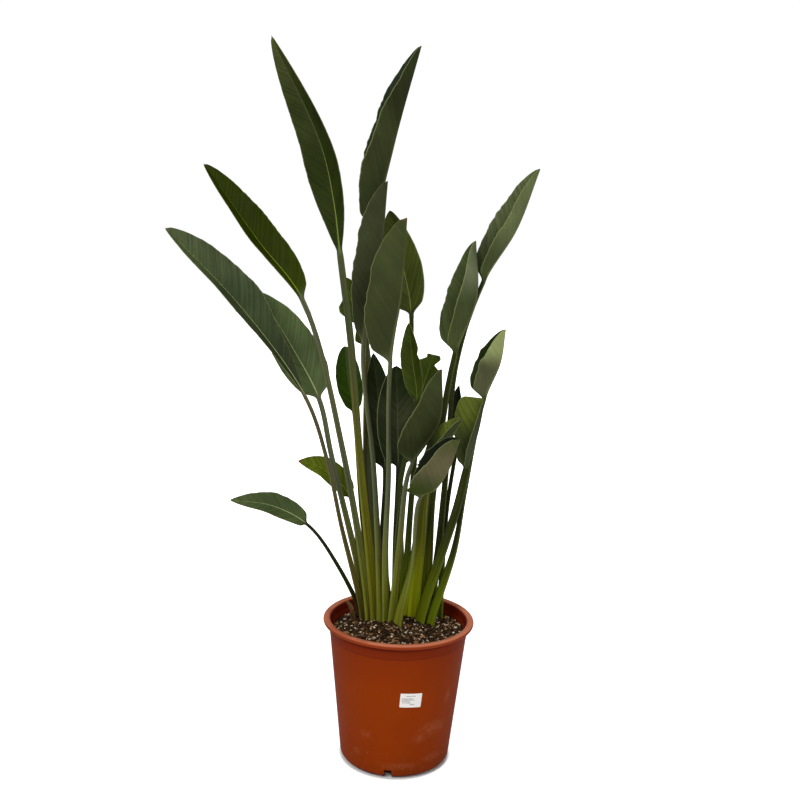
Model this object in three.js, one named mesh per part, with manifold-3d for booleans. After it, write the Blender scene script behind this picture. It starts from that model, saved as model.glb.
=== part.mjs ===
// Potted bird of paradise: a nursery pot with a rolled lip, soil, three rooted crowns in the soil,
// and the leaves that stand up from them, each one solid from its foot in the soil to its tip.
// Millimetres, +Z up. The origin is the middle of the pot's underside, and -Y is the front.

import * as THREE from 'three';
import { mergeVertices } from 'three/addons/utils/BufferGeometryUtils.js';
import Module from 'manifold-3d';

const wasm = await Module();
wasm.setup();

// Pot: outside radii and heights of the turned shell.
const rimRadius = 140;
const potHeight = 268.5;
const lipDrop = 9.5;
const neckRadius = 128;
const footRadius = 103;
const cornerRadius = 14;
const wallThickness = 2.2;
const floorTop = 5.5;
const padRadius = 30;
const recessHeight = 3;
const standingRingWidth = 5;
const stepBelowLip = 22;
const stepSize = 1.1;
const potSides = 36;
const drainWidth = 13;
const drainHeight = 18;
const drainTurn = -96;
const floorHoleRadius = 7;
const floorHoleRing = 62;

// Sticker on the front of the pot.
const labelWidth = 39;
const labelHeight = 27;
const labelThickness = 0.4;
const labelMiddle = { x: 26, z: 158 };
const labelTilt = 3;

// Soil, with a plain hole for each stalk. gap is the space between neighbouring pieces.
const gap = 0.3;
const soilTop = 243;
const soilSides = 24;
const soilMound = 4;
const soilLump = 1.1;
const holeMargin = 0.6;
const holeSides = 8;

// Crowns under the soil and their thick roots.
const crownTop = 204;
const crownDepth = 34;
const crownSides = 10;
const rootThickness = 6;
const rootLength = 110;
const rootsPerLobe = 3;
const rootSides = 5;
const rootLean = 0.35;

// Leaf stalk: half width and half thickness at the soil and at the blade.
const stalkFoot = { width: 12, thickness: 5 };
const stalkNeck = { width: 4.3, thickness: 3.3 };
const stalkFade = 150;
const stalkSteps = 5;

// Blade: stations along it, columns across it, and its thickness.
const bladeStations = [0.03, 0.1, 0.22, 0.36, 0.5, 0.64, 0.78, 0.89, 0.96, 1];
const bladeColumns = [-1, -2 / 3, -1 / 3, 0, 1 / 3, 2 / 3, 1];
const marginThickness = 0.45;
const innerThickness = 0.55;
const tipHalfWidth = 1.2;
const ribTipDepth = 0.7;

// The side of a stalk that is hollowed faces the middle of its fan.
const facesFrontRight = [0.8, -0.6, 0];
const facesBackLeft = [-0.8, 0.6, 0];
const facesFrontLeft = [-0.8, -0.6, 0];
const facesFront = [-0.3, -0.95, 0];

const colours = {
  terracotta: 0xb0522d,
  paper: 0xe8e6e0,
  soil: 0x3a2a20,
  root: 0xb08a58,
  leaf: 0x3f4f34,
};

// Every leaf, and one dried sheath with no stalk left: foot in the soil, then stalk points, then the
// blade's base, middle and tip. half is the blade's greatest half width, ends how pointed its base and
// tip are (small is blunt), face the way its upper side looks, tipFace that at the tip of a twisted
// blade, wave is height, count and phase, stout scales the stalk, fade is the height over which its
// foot thins out, fold and curl the angle of its left and right half at the rib and gained by the margin.
const leaves = [
  {
    name: 'leaf_a', foot: [-44, 36], footFace: facesFrontRight, stalk: [[-84, 40, 575], [-106, 60, 775]],
    blade: [[-129, 70, 925], [-146, 98, 1030], [-174, 118, 1134], [-274, 150, 1333]], stout: 1.1, fade: 380,
    half: 42, ends: [1, 0.8], face: [0.1, -0.95, 0.1], tipFace: [-0.3, -0.9, 0.1], fold: [18, 46],
    curl: [10, 14], wave: [1.5, 2.5, 0],
  },
  {
    name: 'leaf_b', foot: [-55, 38], footFace: facesFrontRight, stalk: [[-115, 50, 570]],
    blade: [[-198, 90, 842], [-291, 125, 955], [-401, 160, 1096]], fade: 220,
    half: 42, ends: [0.6, 0.7], face: [0.25, -0.8, 0.4], fold: [46, 18], curl: [14, 12], wave: [1.5, 3, 1],
  },
  {
    name: 'leaf_c', foot: [-67, 41], footFace: facesFrontRight, stalk: [[-112, 23, 430], [-141, 8, 560]],
    blade: [[-181, -6, 676], [-299, 10, 830], [-445, 40, 970]], stout: 0.85, fade: 110,
    half: 47, ends: [0.95, 0.7], face: [0.35, -0.75, 0.5], fold: [42, 14], curl: [14, 14], wave: [1.5, 3, 2],
    tears: [{ edge: 1, at: 0, reach: 0.5, depth: 0.6 }],
  },
  {
    name: 'leaf_d', foot: [-60, 62], footFace: facesFrontRight, stalk: [[-136, 45, 562]],
    blade: [[-164, 80, 661], [-222, 110, 758], [-290, 130, 857]],
    half: 48, ends: [0.5, 0.75], face: [0.15, -0.9, 0.3], fold: [20, 14], curl: [12, 14], wave: [1.5, 2.5, 0.5],
  },
  {
    name: 'leaf_v', foot: [-74, 62], footFace: facesFrontRight, stalk: [[-122, 40, 355]],
    blade: [[-175, 10, 436], [-240, -10, 475], [-312, -30, 488]], stout: 0.5,
    half: 25, ends: [0.55, 0.85], face: [0.2, -0.75, 0.6], fold: [20, 20], curl: [14, 14], wave: [1, 2, 0],
  },
  {
    name: 'sheath', foot: [-85, 38], footFace: facesFrontRight, stalk: [],
    blade: [[-89, 35, 260], [-94, 32, 272], [-99, 29, 283]], stout: 0.55,
    half: 6, ends: [0.3, 0.4], face: [0.8, -0.6, 0.2], fold: [20, 20], curl: [30, 30], wave: [0.5, 2, 0],
  },
  {
    name: 'leaf_w', foot: [-58, 92], footFace: facesFrontRight, stalk: [[-80, 90, 345]],
    blade: [[-100, 85, 470], [-150, 75, 525], [-200, 60, 545]], stout: 0.6,
    half: 26, ends: [0.55, 0.85], face: [0.2, -0.8, 0.5], fold: [24, 20], curl: [14, 14], wave: [1.5, 2, 1],
  },
  {
    name: 'leaf_e', foot: [-46, 94], footFace: facesFrontRight, stalk: [[-75, 95, 425]],
    blade: [[-98, 110, 632], [-112, 125, 695], [-122, 150, 757]], stout: 0.8, fade: 220,
    half: 26, ends: [0.5, 0.6], face: [0.1, -0.95, 0.2], fold: [14, 14], curl: [12, 12], wave: [1, 2, 0],
  },
  {
    name: 'leaf_j', foot: [-33, 96], footFace: facesFrontRight, stalk: [[-65, 110, 500]],
    blade: [[-80, 130, 760], [-105, 130, 830], [-125, 130, 890]], fade: 420,
    half: 34, ends: [0.35, 0.6], face: [0.1, -0.95, 0.2], fold: [20, 20], curl: [12, 12], wave: [2, 3, 0],
    tears: [{ edge: 0, at: 0.28, reach: 0.24, depth: 0.85 }, { edge: 0, at: 0.8, reach: 0.2, depth: 0.85 }],
  },
  {
    name: 'leaf_f', foot: [-46, 59], footFace: facesBackLeft, stalk: [[-75, 65, 590]],
    blade: [[-68, 60, 970], [-38, 80, 1135], [6, 95, 1312]],
    half: 55, ends: [0.5, 0.75], face: [-0.9, 0.1, 0.1], tipFace: [-0.87, -0.48, 0.1],
    fold: [46, 52], curl: [14, 14], wave: [2, 3, 0], fade: 260,
  },
  {
    name: 'leaf_g', foot: [-34, 34], footFace: facesBackLeft, stalk: [[-55, 10, 545]],
    blade: [[-80, -20, 775], [-55, -25, 920], [-45, -35, 1060]], fade: 260,
    half: 46, ends: [0.8, 0.7], face: [-0.85, 0.35, 0.1], fold: [44, 44], curl: [10, 16], wave: [1.5, 2.5, 0],
  },
  {
    name: 'leaf_h', foot: [-24, 32], footFace: facesBackLeft, stalk: [[-29, 0, 395], [-27, -35, 535]],
    blade: [[-30, -90, 750], [-15, -105, 875], [-10, -125, 995]], fade: 240,
    half: 58, ends: [0.5, 0.62], face: [-0.8, 0.45, 0.1], fold: [42, 42], curl: [10, 18], wave: [2, 2.5, 1],
  },
  {
    name: 'leaf_m', foot: [-12, 28], footFace: facesBackLeft, stalk: [[-3, 8, 405], [5, -35, 535]],
    blade: [[14, -45, 570], [58, -72, 652], [58, -90, 745]], stout: 1.1, fade: 220,
    half: 60, ends: [0.5, 0.7], face: [-0.8, 0.3, 0.4], tipFace: [-0.88, 0, 0.4],
    fold: [46, 44], curl: [12, 14], wave: [1.5, 2, 0],
  },
  {
    name: 'leaf_n', foot: [-20, 97], footFace: facesFrontRight, stalk: [[-35, 90, 385]],
    blade: [[-35, 90, 525], [-50, 100, 640], [-65, 105, 750]], stout: 0.85,
    half: 36, ends: [0.5, 0.8], face: [0.1, -0.95, 0.2], fold: [24, 24], curl: [12, 12], wave: [1.5, 2, 0],
  },
  {
    name: 'leaf_x', foot: [-7, 98], footFace: facesFrontRight, stalk: [[-10, 90, 390]],
    blade: [[-10, 70, 535], [-15, 70, 640], [-20, 75, 730]], stout: 0.85,
    half: 44, ends: [0.45, 0.6], face: [-0.1, -0.95, 0.1], fold: [30, 24], curl: [12, 12], wave: [1.5, 2, 1],
  },
  {
    name: 'leaf_i', foot: [8, 98], footFace: facesFrontLeft, stalk: [[-5, 110, 480]],
    blade: [[5, 80, 825], [-12, 115, 910], [-43, 155, 1020]],
    half: 51, ends: [0.5, 0.8], face: [-0.3, -0.9, 0.2], fold: [18, 26], curl: [12, 14], wave: [1.5, 2.5, 1],
  },
  {
    name: 'leaf_k', foot: [-8, 58], footFace: facesBackLeft, stalk: [[-10, 40, 400], [-5, 30, 520]],
    blade: [[20, 20, 670], [10, 20, 745], [0, 15, 815]],
    half: 24, ends: [0.6, 0.8], face: [-0.3, -0.9, 0], fold: [30, 30], curl: [14, 14], wave: [1.5, 2, 0],
    tears: [{ edge: 1, at: 0.6, reach: 0.08, depth: 0.3 }],
  },
  {
    name: 'leaf_s', foot: [-2, 8], footFace: facesFrontLeft, stalk: [[20, -20, 375]],
    blade: [[30, -80, 518], [54, -108, 540], [76, -132, 584], [90, -148, 636]], stout: 1.05,
    half: 54, ends: [0.4, 0.5], face: [-0.75, 0.1, 0.6], fold: [68, 42], curl: [12, 14], wave: [1.5, 2, 0],
  },
  {
    name: 'leaf_t', foot: [23, 50], footFace: facesFront, stalk: [[34, 12, 415]],
    blade: [[47, -34, 545], [73, -60, 606], [98, -76, 658]], stout: 1.45, fade: 600,
    half: 33, ends: [0.5, 0.6], face: [-0.6, -0.4, 0.6], fold: [42, 50], curl: [20, 20], wave: [1, 2, 0],
  },
  {
    name: 'leaf_l', foot: [12, 72], footFace: facesFrontLeft, stalk: [[15, 52, 440]],
    blade: [[30, 65, 682], [38, 75, 715], [50, 90, 752]],
    half: 25, ends: [0.5, 0.25], face: [-0.3, -0.9, 0.1], fold: [24, 24], curl: [12, 12], wave: [2, 2, 0],
    tears: [{ edge: 1, at: 0.75, reach: 0.12, depth: 0.6 }, { edge: 0, at: 0.9, reach: 0.14, depth: 0.5 }],
  },
  {
    name: 'leaf_p', foot: [46, 64], footFace: facesFront, stalk: [[50, 42, 370], [54, 30, 490]],
    blade: [[85, 5, 760], [118, -3, 865], [113, 2, 965]], stout: 1.25, fade: 420,
    half: 54, ends: [0.5, 0.75], face: [-0.87, -0.45, 0.2], fold: [56, 60], curl: [10, 10], wave: [1.5, 2, 0],
  },
  {
    name: 'leaf_o', foot: [60, 84], footFace: facesFrontLeft, stalk: [[70, 55, 360], [80, 50, 540], [90, 40, 740]],
    blade: [[130, 20, 890], [184, 4, 987], [218, -12, 1091]], stout: 1.1, fade: 260,
    half: 45, ends: [0.55, 0.75], face: [-0.88, -0.43, 0.2], fold: [50, 58], curl: [12, 12], wave: [1.5, 2.5, 0],
  },
  {
    name: 'leaf_u', foot: [79, 58], footFace: facesFrontLeft, stalk: [[85, 60, 460]],
    blade: [[100, 70, 595], [100, 70, 650], [99, 70, 698]], stout: 0.8,
    half: 19, ends: [0.5, 0.8], face: [-0.6, -0.7, 0.1], fold: [30, 30], curl: [12, 12], wave: [1, 2, 0],
  },
  {
    name: 'leaf_r', foot: [40, 27], footFace: facesFrontLeft, stalk: [[74, 5, 385], [99, -8, 480]],
    blade: [[114, -8, 553], [131, -20, 628], [140, -25, 688]], stout: 1.15, fade: 260,
    half: 48, ends: [0.5, 0.15], face: [-0.5, -0.85, 0.2], fold: [30, 76], curl: [14, 10], wave: [1.5, 2, 0],
    tears: [{ edge: 1, at: 1, reach: 0.7, depth: 0.8 }],
  },
  {
    name: 'leaf_q', foot: [60, 20], footFace: facesFrontLeft, stalk: [[98, 2, 398], [113, 0, 510]],
    blade: [[140, 0, 680], [166, 0, 750], [172, -10, 811]], fade: 240,
    half: 43, ends: [0.4, 0.7], face: [-0.95, -0.2, 0.2], fold: [52, 58], curl: [24, 24], wave: [1.5, 2, 0],
  },
];

// Each crown is one or two lobes: middle x and y, half length along x and half width along y.
const crowns = [
  { name: 'crown_left', lobes: [[-44, 46, 43, 30]] },
  { name: 'crown_back', lobes: [[-20, 94, 42, 12]] },
  { name: 'crown_right', lobes: [[42, 52, 38, 40], [6, 18, 18, 13]] },
];

const degrees = THREE.MathUtils.degToRad;

function material(colour, roughness) {
  return new THREE.MeshStandardMaterial({ color: colour, roughness, metalness: 0 });
}

function toSolid(geometry) {
  const bare = geometry.clone();
  bare.deleteAttribute('normal');
  bare.deleteAttribute('uv');
  const merged = mergeVertices(bare, 1e-4);
  return new wasm.Manifold(new wasm.Mesh({
    numProp: 3,
    vertProperties: new Float32Array(merged.attributes.position.array),
    triVerts: new Uint32Array(merged.index.array),
  }));
}

function toGeometry(solid) {
  const mesh = solid.getMesh();
  const geometry = new THREE.BufferGeometry();
  geometry.setAttribute('position', new THREE.BufferAttribute(mesh.vertProperties, 3));
  geometry.setIndex(new THREE.BufferAttribute(mesh.triVerts, 1));
  geometry.computeVertexNormals();
  return geometry;
}

function turned(points, sides) {
  const outline = points.map(([radius, height]) => new THREE.Vector2(radius, height));
  return new THREE.LatheGeometry(outline, sides).rotateX(Math.PI / 2);
}

// Points on an arc from one angle to another, in degrees, about a middle point.
function arc([x, y], radius, from, to, steps) {
  const points = [];
  for (let step = 0; step <= steps; step += 1) {
    const angle = degrees(from + (to - from) * step / steps);
    points.push([x + radius * Math.cos(angle), y + radius * Math.sin(angle)]);
  }
  return points;
}

// Outside radius of the pot's wall at a height, below the step.
function wallRadius(height) {
  const stepHeight = potHeight - lipDrop - stepBelowLip;
  const slope = (neckRadius - stepSize - footRadius) / (stepHeight - cornerRadius);
  return footRadius + slope * (height - cornerRadius);
}

// Inside radius of the wall at a height, above the rounded corner.
function innerRadius(height) {
  const slope = (neckRadius - footRadius) / (potHeight - 5 - cornerRadius);
  return footRadius - wallThickness + slope * (height - cornerRadius);
}

function potProfile() {
  const lipBottom = potHeight - lipDrop;
  const stepHeight = lipBottom - stepBelowLip;
  const lipRadius = lipDrop / 2;
  const lipMiddle = [rimRadius - lipRadius, potHeight - lipRadius];
  const innerCorner = cornerRadius - wallThickness - 1;
  return [
    [0, 0],
    [padRadius, 0],
    [padRadius + 2, recessHeight],
    [footRadius - cornerRadius - standingRingWidth - 2, recessHeight],
    [footRadius - cornerRadius - standingRingWidth, 0],
    ...arc([footRadius - cornerRadius, cornerRadius], cornerRadius, -90, 0, 3),
    [wallRadius(stepHeight), stepHeight],
    [neckRadius - 0.6, stepHeight + stepSize],
    [neckRadius - 0.3, lipBottom - 5],
    [neckRadius + 0.9, lipBottom - 4],
    [neckRadius + 0.9, lipBottom - 2],
    [neckRadius, lipBottom - 1],
    [neckRadius + 0.4, lipBottom + 0.6],
    ...arc(lipMiddle, lipRadius, -70, 110, 5),
    [neckRadius + 0.8, potHeight - 1.2],
    [innerRadius(potHeight - 5), potHeight - 5],
    [innerRadius(cornerRadius), cornerRadius],
    ...arc([footRadius - wallThickness - innerCorner, floorTop + innerCorner], innerCorner, -15, -90, 2),
    [0, floorTop],
  ];
}

function makePot() {
  let pot = toSolid(turned(potProfile(), potSides));
  for (let quarter = 0; quarter < 4; quarter += 1) {
    const turn = degrees(drainTurn + 90 * quarter);
    const notch = new THREE.BoxGeometry(40, drainWidth, drainHeight);
    notch.translate(footRadius, 0, drainHeight / 2 - 0.5).rotateZ(turn);
    pot = pot.subtract(toSolid(notch));
    const hole = new THREE.CylinderGeometry(floorHoleRadius, floorHoleRadius, 3 * floorTop, 12);
    hole.rotateX(Math.PI / 2).translate(floorHoleRing, 0, 0).rotateZ(turn + Math.PI / 4);
    pot = pot.subtract(toSolid(hole));
  }
  return toGeometry(pot);
}

// A thin plate bent round the wall, tilted a little as it was stuck on.
function makeLabel() {
  const columns = 8;
  const rows = 2;
  const middle = Math.asin(labelMiddle.x / wallRadius(labelMiddle.z));
  const positions = [];
  const place = (u, v, lift) => {
    const turn = degrees(labelTilt);
    const along = u * Math.cos(turn) + v * Math.sin(turn);
    const height = labelMiddle.z - u * Math.sin(turn) + v * Math.cos(turn);
    const radius = wallRadius(height) + gap + lift;
    const angle = middle + along / wallRadius(labelMiddle.z);
    positions.push(radius * Math.sin(angle), -radius * Math.cos(angle), height);
  };
  for (const lift of [0, labelThickness]) {
    for (let row = 0; row <= rows; row += 1) {
      for (let column = 0; column <= columns; column += 1) {
        place(labelWidth * (column / columns - 0.5), labelHeight * (row / rows - 0.5), lift);
      }
    }
  }
  const wide = columns + 1;
  const layer = wide * (rows + 1);
  const index = [];
  const quad = (a, b, c, d) => index.push(a, b, c, a, c, d);
  for (let row = 0; row < rows; row += 1) {
    for (let column = 0; column < columns; column += 1) {
      const corner = row * wide + column;
      quad(layer + corner, layer + corner + 1, layer + corner + wide + 1, layer + corner + wide);
      quad(corner, corner + wide, corner + wide + 1, corner + 1);
    }
    const left = row * wide;
    const right = left + columns;
    quad(left, layer + left, layer + left + wide, left + wide);
    quad(right, right + wide, layer + right + wide, layer + right);
  }
  for (let column = 0; column < columns; column += 1) {
    const top = rows * wide + column;
    quad(column, column + 1, layer + column + 1, layer + column);
    quad(top, layer + top, layer + top + 1, top + 1);
  }
  const geometry = new THREE.BufferGeometry();
  geometry.setAttribute('position', new THREE.Float32BufferAttribute(positions, 3));
  geometry.setIndex(index);
  return geometry;
}

// A lobe is flat on top, where the stalks stand, and tapers below into thick roots.
function lobeSolid([x, y, halfLength, halfWidth], grow) {
  const body = turned([
    [0, -crownDepth - grow],
    [0.55, -crownDepth - grow],
    [0.9, -0.6 * crownDepth],
    [1, -0.25 * crownDepth],
    [0.96, grow],
    [0, grow],
  ], crownSides);
  body.scale(halfLength + grow, halfWidth + grow, 1).translate(x, y, crownTop - gap);
  let solid = toSolid(body);
  for (let root = 0; root < rootsPerLobe; root += 1) {
    const angle = 2 * Math.PI * root / rootsPerLobe + 0.4;
    const thickness = rootThickness + grow;
    const length = rootLength + 2 * grow;
    const start = new THREE.Vector3(
      x + 0.45 * halfLength * Math.cos(angle),
      y + 0.3 * halfWidth * Math.sin(angle),
      crownTop - 0.5 * crownDepth,
    );
    const down = new THREE.Vector3(-rootLean * start.x, -rootLean * start.y, -rootLength).normalize();
    const turn = new THREE.Quaternion().setFromUnitVectors(new THREE.Vector3(0, -1, 0), down);
    const shape = new THREE.CylinderGeometry(thickness, 0.4 * thickness, length, rootSides);
    shape.translate(0, -length / 2 + grow, 0).applyQuaternion(turn).translate(...start);
    solid = solid.add(toSolid(shape));
  }
  return solid;
}

function crownSolid(crown, grow) {
  return crown.lobes.map((lobe) => lobeSolid(lobe, grow)).reduce((all, lobe) => all.add(lobe));
}

// The leaf's middle line, from its root under the soil to its tip.
function middleLine(leaf) {
  const [x, y] = leaf.foot;
  const points = [[x, y, crownTop], [x, y, soilTop + 4], ...leaf.stalk, ...leaf.blade];
  return points.map((point) => new THREE.Vector3(...point));
}

// The curve value where the stalk ends and the blade begins.
function bladeStartOn(leaf, curve) {
  return 1 - (leaf.blade.length - 1) / (curve.points.length - 1);
}

// A cross frame on the middle line: the side vector points to the leaf's right half.
function frameAt(leaf, curve, t, bladeStart) {
  const tangent = curve.getTangent(t);
  const turn = THREE.MathUtils.smoothstep(t, 0.25 * bladeStart, bladeStart);
  const face = new THREE.Vector3(...leaf.footFace).lerp(new THREE.Vector3(...leaf.face), turn);
  const share = Math.max(0, (t - bladeStart) / (1 - bladeStart));
  if (leaf.tipFace) face.lerp(new THREE.Vector3(...leaf.tipFace), share);
  const normal = face.addScaledVector(tangent, -face.dot(tangent)).normalize();
  const side = new THREE.Vector3().crossVectors(tangent, normal);
  return { middle: curve.getPoint(t), normal, side };
}

function stalkSize(leaf, height) {
  const stout = leaf.stout ?? 1;
  const fade = Math.exp(-Math.max(0, height - soilTop) / (leaf.fade ?? stalkFade));
  return {
    width: stout * THREE.MathUtils.lerp(stalkNeck.width, stalkFoot.width, fade),
    thickness: stout * THREE.MathUtils.lerp(stalkNeck.thickness, stalkFoot.thickness, fade),
  };
}

// A stalk's ring: round below, flatter above. Offsets are along the side and normal vectors.
function stalkRing(leaf, height) {
  const { width, thickness } = stalkSize(leaf, height);
  const upper = [];
  const lower = [];
  for (const column of bladeColumns) {
    const across = width * Math.sin(column * Math.PI / 2);
    const round = Math.cos(column * Math.PI / 2);
    upper.push([across, 0.7 * thickness * round + 0.2]);
    lower.push([across, -thickness * round - 0.2]);
  }
  return [...upper, ...lower.reverse()];
}

// Half width of the left (edge 0) or right (edge 1) half, less where the leaf is torn.
function bladeHalfWidth(leaf, s, edge) {
  const [baseEnd, tipEnd] = leaf.ends;
  const widest = baseEnd / (baseEnd + tipEnd);
  const rise = (s / widest) ** baseEnd;
  const fall = ((1 - s) / (1 - widest)) ** tipEnd;
  let half = leaf.half * rise * fall;
  for (const tear of leaf.tears ?? []) {
    if (tear.edge === edge) half *= 1 - tear.depth * Math.max(0, 1 - Math.abs(s - tear.at) / tear.reach);
  }
  return Math.max(tipHalfWidth, half);
}

// Stations along a blade, with a few more where it is torn.
function stationsOf(leaf) {
  const extra = (leaf.tears ?? [])
    .flatMap((tear) => [tear.at - tear.reach, tear.at, tear.at + tear.reach])
    .filter((s) => s > 0 && s < 1);
  const near = (s) => extra.some((other) => Math.abs(other - s) < 0.03);
  return [...bladeStations.filter((s) => !near(s)), ...extra].sort((a, b) => a - b);
}

// A blade's ring: two halves folded up from the rib and curling on towards their margins.
function bladeRing(leaf, s) {
  const upper = [];
  const lower = [];
  const [waveHeight, waves, phase] = leaf.wave;
  const stout = leaf.stout ?? 1;
  const rib = THREE.MathUtils.lerp(stout * stalkNeck.thickness, ribTipDepth, Math.sqrt(s));
  for (const column of bladeColumns) {
    const sign = Math.sign(column);
    const reach = Math.abs(column);
    const edge = column < 0 ? 0 : 1;
    const half = bladeHalfWidth(leaf, s, edge);
    const fold = degrees(leaf.fold[edge]);
    const curl = degrees(leaf.curl[edge]);
    const angle = column === 0 ? 0 : fold + curl * reach;
    const ripple = Math.sin(2 * Math.PI * (waves * s) + phase + 2 * edge) * Math.sin(Math.PI * s);
    const across = sign * half * (Math.sin(fold + curl * reach) - Math.sin(fold)) / curl;
    const lift = half * (Math.cos(fold) - Math.cos(fold + curl * reach)) / curl
      + waveHeight * reach ** 2 * ripple;
    const thickness = reach > 0.9 ? marginThickness : innerThickness;
    const above = thickness;
    const below = column === 0 ? Math.max(rib, thickness) : thickness;
    upper.push([across - sign * above * Math.sin(angle), lift + above * Math.cos(angle)]);
    lower.push([across + sign * below * Math.sin(angle), lift - below * Math.cos(angle)]);
  }
  return [...upper, ...lower.reverse()];
}

// Joins equal rings into one closed skin. Both faces of a blade are split along the same diagonal.
function loft(rings) {
  const count = rings[0].length;
  const columns = count / 2;
  const positions = rings.flat().flatMap((point) => [point.x, point.y, point.z]);
  const index = [];
  for (let ring = 0; ring < rings.length - 1; ring += 1) {
    for (let step = 0; step < count; step += 1) {
      const next = (step + 1) % count;
      const a = ring * count + step;
      const b = ring * count + next;
      const c = b + count;
      const d = a + count;
      if (step < columns) index.push(a, b, c, a, c, d);
      else index.push(a, b, d, b, c, d);
    }
  }
  const end = (rings.length - 1) * count;
  for (let column = 0; column < columns - 1; column += 1) {
    const across = count - 1 - column;
    index.push(column + 1, column, across, column + 1, across, across - 1);
    index.push(end + column, end + column + 1, end + across);
    index.push(end + column + 1, end + across - 1, end + across);
  }
  const geometry = new THREE.BufferGeometry();
  geometry.setAttribute('position', new THREE.Float32BufferAttribute(positions, 3));
  geometry.setIndex(index);
  return geometry;
}

function placeRing(frame, ring) {
  return ring.map(([across, up]) => frame.middle.clone()
    .addScaledVector(frame.side, across)
    .addScaledVector(frame.normal, up));
}

function stalkStations(leaf, curve, bladeStart) {
  const footT = 1 / (curve.points.length - 1);
  const stations = [0, footT];
  const steps = leaf.stalk.length === 0 ? 0 : stalkSteps;
  for (let step = 1; step <= steps; step += 1) {
    stations.push(THREE.MathUtils.lerp(footT, bladeStart, step / steps));
  }
  return stations;
}

function makeLeaf(leaf) {
  const curve = new THREE.CatmullRomCurve3(middleLine(leaf), false, 'centripetal');
  const bladeStart = bladeStartOn(leaf, curve);
  const rings = stalkStations(leaf, curve, bladeStart).map((t) => {
    const frame = frameAt(leaf, curve, t, bladeStart);
    return placeRing(frame, stalkRing(leaf, frame.middle.z));
  });
  for (const s of stationsOf(leaf)) {
    const frame = frameAt(leaf, curve, THREE.MathUtils.lerp(bladeStart, 1, s), bladeStart);
    rings.push(placeRing(frame, bladeRing(leaf, s)));
  }
  return loft(rings);
}

// A hole's ring, clear of the stalk on every side.
function holeRing(leaf) {
  const { width, thickness } = stalkSize(leaf, soilTop);
  return arc([0, 0], 1 / Math.cos(Math.PI / holeSides), 180, 180 - 360 * (1 - 1 / holeSides), holeSides - 1)
    .map(([across, up]) => [(width + holeMargin) * across, (thickness + holeMargin) * up]);
}

// The plain hole that a leaf's foot stands in.
function holeSolid(leaf) {
  const curve = new THREE.CatmullRomCurve3(middleLine(leaf), false, 'centripetal');
  const bladeStart = bladeStartOn(leaf, curve);
  const footT = 1 / (curve.points.length - 1);
  const ends = [{ t: 0, shift: -2 * gap }, { t: footT, shift: 10 * gap }];
  const rings = ends.map(({ t, shift }) => {
    const frame = frameAt(leaf, curve, t, bladeStart);
    frame.middle.z += shift;
    return placeRing(frame, holeRing(leaf));
  });
  return toSolid(loft(rings));
}

function makeSoil() {
  const innerCorner = cornerRadius - wallThickness - 1;
  const reach = (height) => innerRadius(height) * Math.cos(Math.PI / potSides) - gap;
  const rows = [0.9, 0.65, 0.35];
  const surface = (geometry) => {
    const position = geometry.attributes.position;
    for (let i = 0; i < position.count; i += 1) {
      const [x, y, z] = [position.getX(i), position.getY(i), position.getZ(i)];
      if (z < soilTop - 0.01) continue;
      const out = Math.min(1, Math.hypot(x, y) / reach(soilTop));
      const lump = soilLump * Math.sin(x / 6 + 1) * Math.cos(y / 7) * (1 - out ** 6);
      position.setZ(i, soilTop + soilMound * (1 - out ** 2) + lump);
    }
    return geometry;
  };
  let soil = toSolid(surface(turned([
    [0, floorTop + gap],
    ...arc([footRadius - wallThickness - innerCorner, floorTop + innerCorner], innerCorner - 2 * gap, -90, -15, 2),
    [reach(cornerRadius), cornerRadius],
    [reach(soilTop), soilTop],
    ...rows.map((row) => [row * reach(soilTop), soilTop]),
    [0, soilTop],
  ], soilSides)));
  for (const crown of crowns) soil = soil.subtract(crownSolid(crown, 2 * gap));
  for (const leaf of leaves) soil = soil.subtract(holeSolid(leaf));
  return toGeometry(soil);
}

const plant = new THREE.Group();

function addPiece(name, geometry, look) {
  const mesh = new THREE.Mesh(geometry, look);
  mesh.name = name;
  plant.add(mesh);
}

const leafLook = material(colours.leaf, 0.55);

addPiece('pot', makePot(), material(colours.terracotta, 0.55));
addPiece('pot_label', makeLabel(), material(colours.paper, 0.6));
addPiece('soil', makeSoil(), material(colours.soil, 0.95));
for (const crown of crowns) {
  addPiece(crown.name, toGeometry(crownSolid(crown, 0)), material(colours.root, 0.8));
}
for (const leaf of leaves) addPiece(leaf.name, makeLeaf(leaf), leafLook);

export default plant;
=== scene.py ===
import math

import bpy
import numpy as np
from mathutils import Matrix, Vector, noise


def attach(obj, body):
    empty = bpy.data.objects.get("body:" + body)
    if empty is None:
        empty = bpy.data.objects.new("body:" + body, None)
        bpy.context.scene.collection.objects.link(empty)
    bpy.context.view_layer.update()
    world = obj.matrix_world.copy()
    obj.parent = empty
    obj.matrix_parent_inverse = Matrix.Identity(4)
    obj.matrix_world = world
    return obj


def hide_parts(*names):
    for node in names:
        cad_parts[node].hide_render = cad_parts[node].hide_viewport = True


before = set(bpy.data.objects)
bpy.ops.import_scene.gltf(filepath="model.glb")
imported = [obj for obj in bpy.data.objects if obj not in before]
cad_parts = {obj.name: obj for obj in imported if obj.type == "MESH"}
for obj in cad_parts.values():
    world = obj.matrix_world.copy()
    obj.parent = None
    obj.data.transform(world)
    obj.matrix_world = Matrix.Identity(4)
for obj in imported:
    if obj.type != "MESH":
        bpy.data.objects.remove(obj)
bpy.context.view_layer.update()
mm = 0.001


# Small helpers for meshes
def addToScene(name, data):
    made = bpy.data.objects.new(name, data)
    bpy.context.scene.collection.objects.link(made)
    return made


def makeObject(name, points, faces):
    mesh = bpy.data.meshes.new(name)
    mesh.from_pydata(points, [], faces)
    mesh.update()
    return addToScene(name, mesh)


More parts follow.
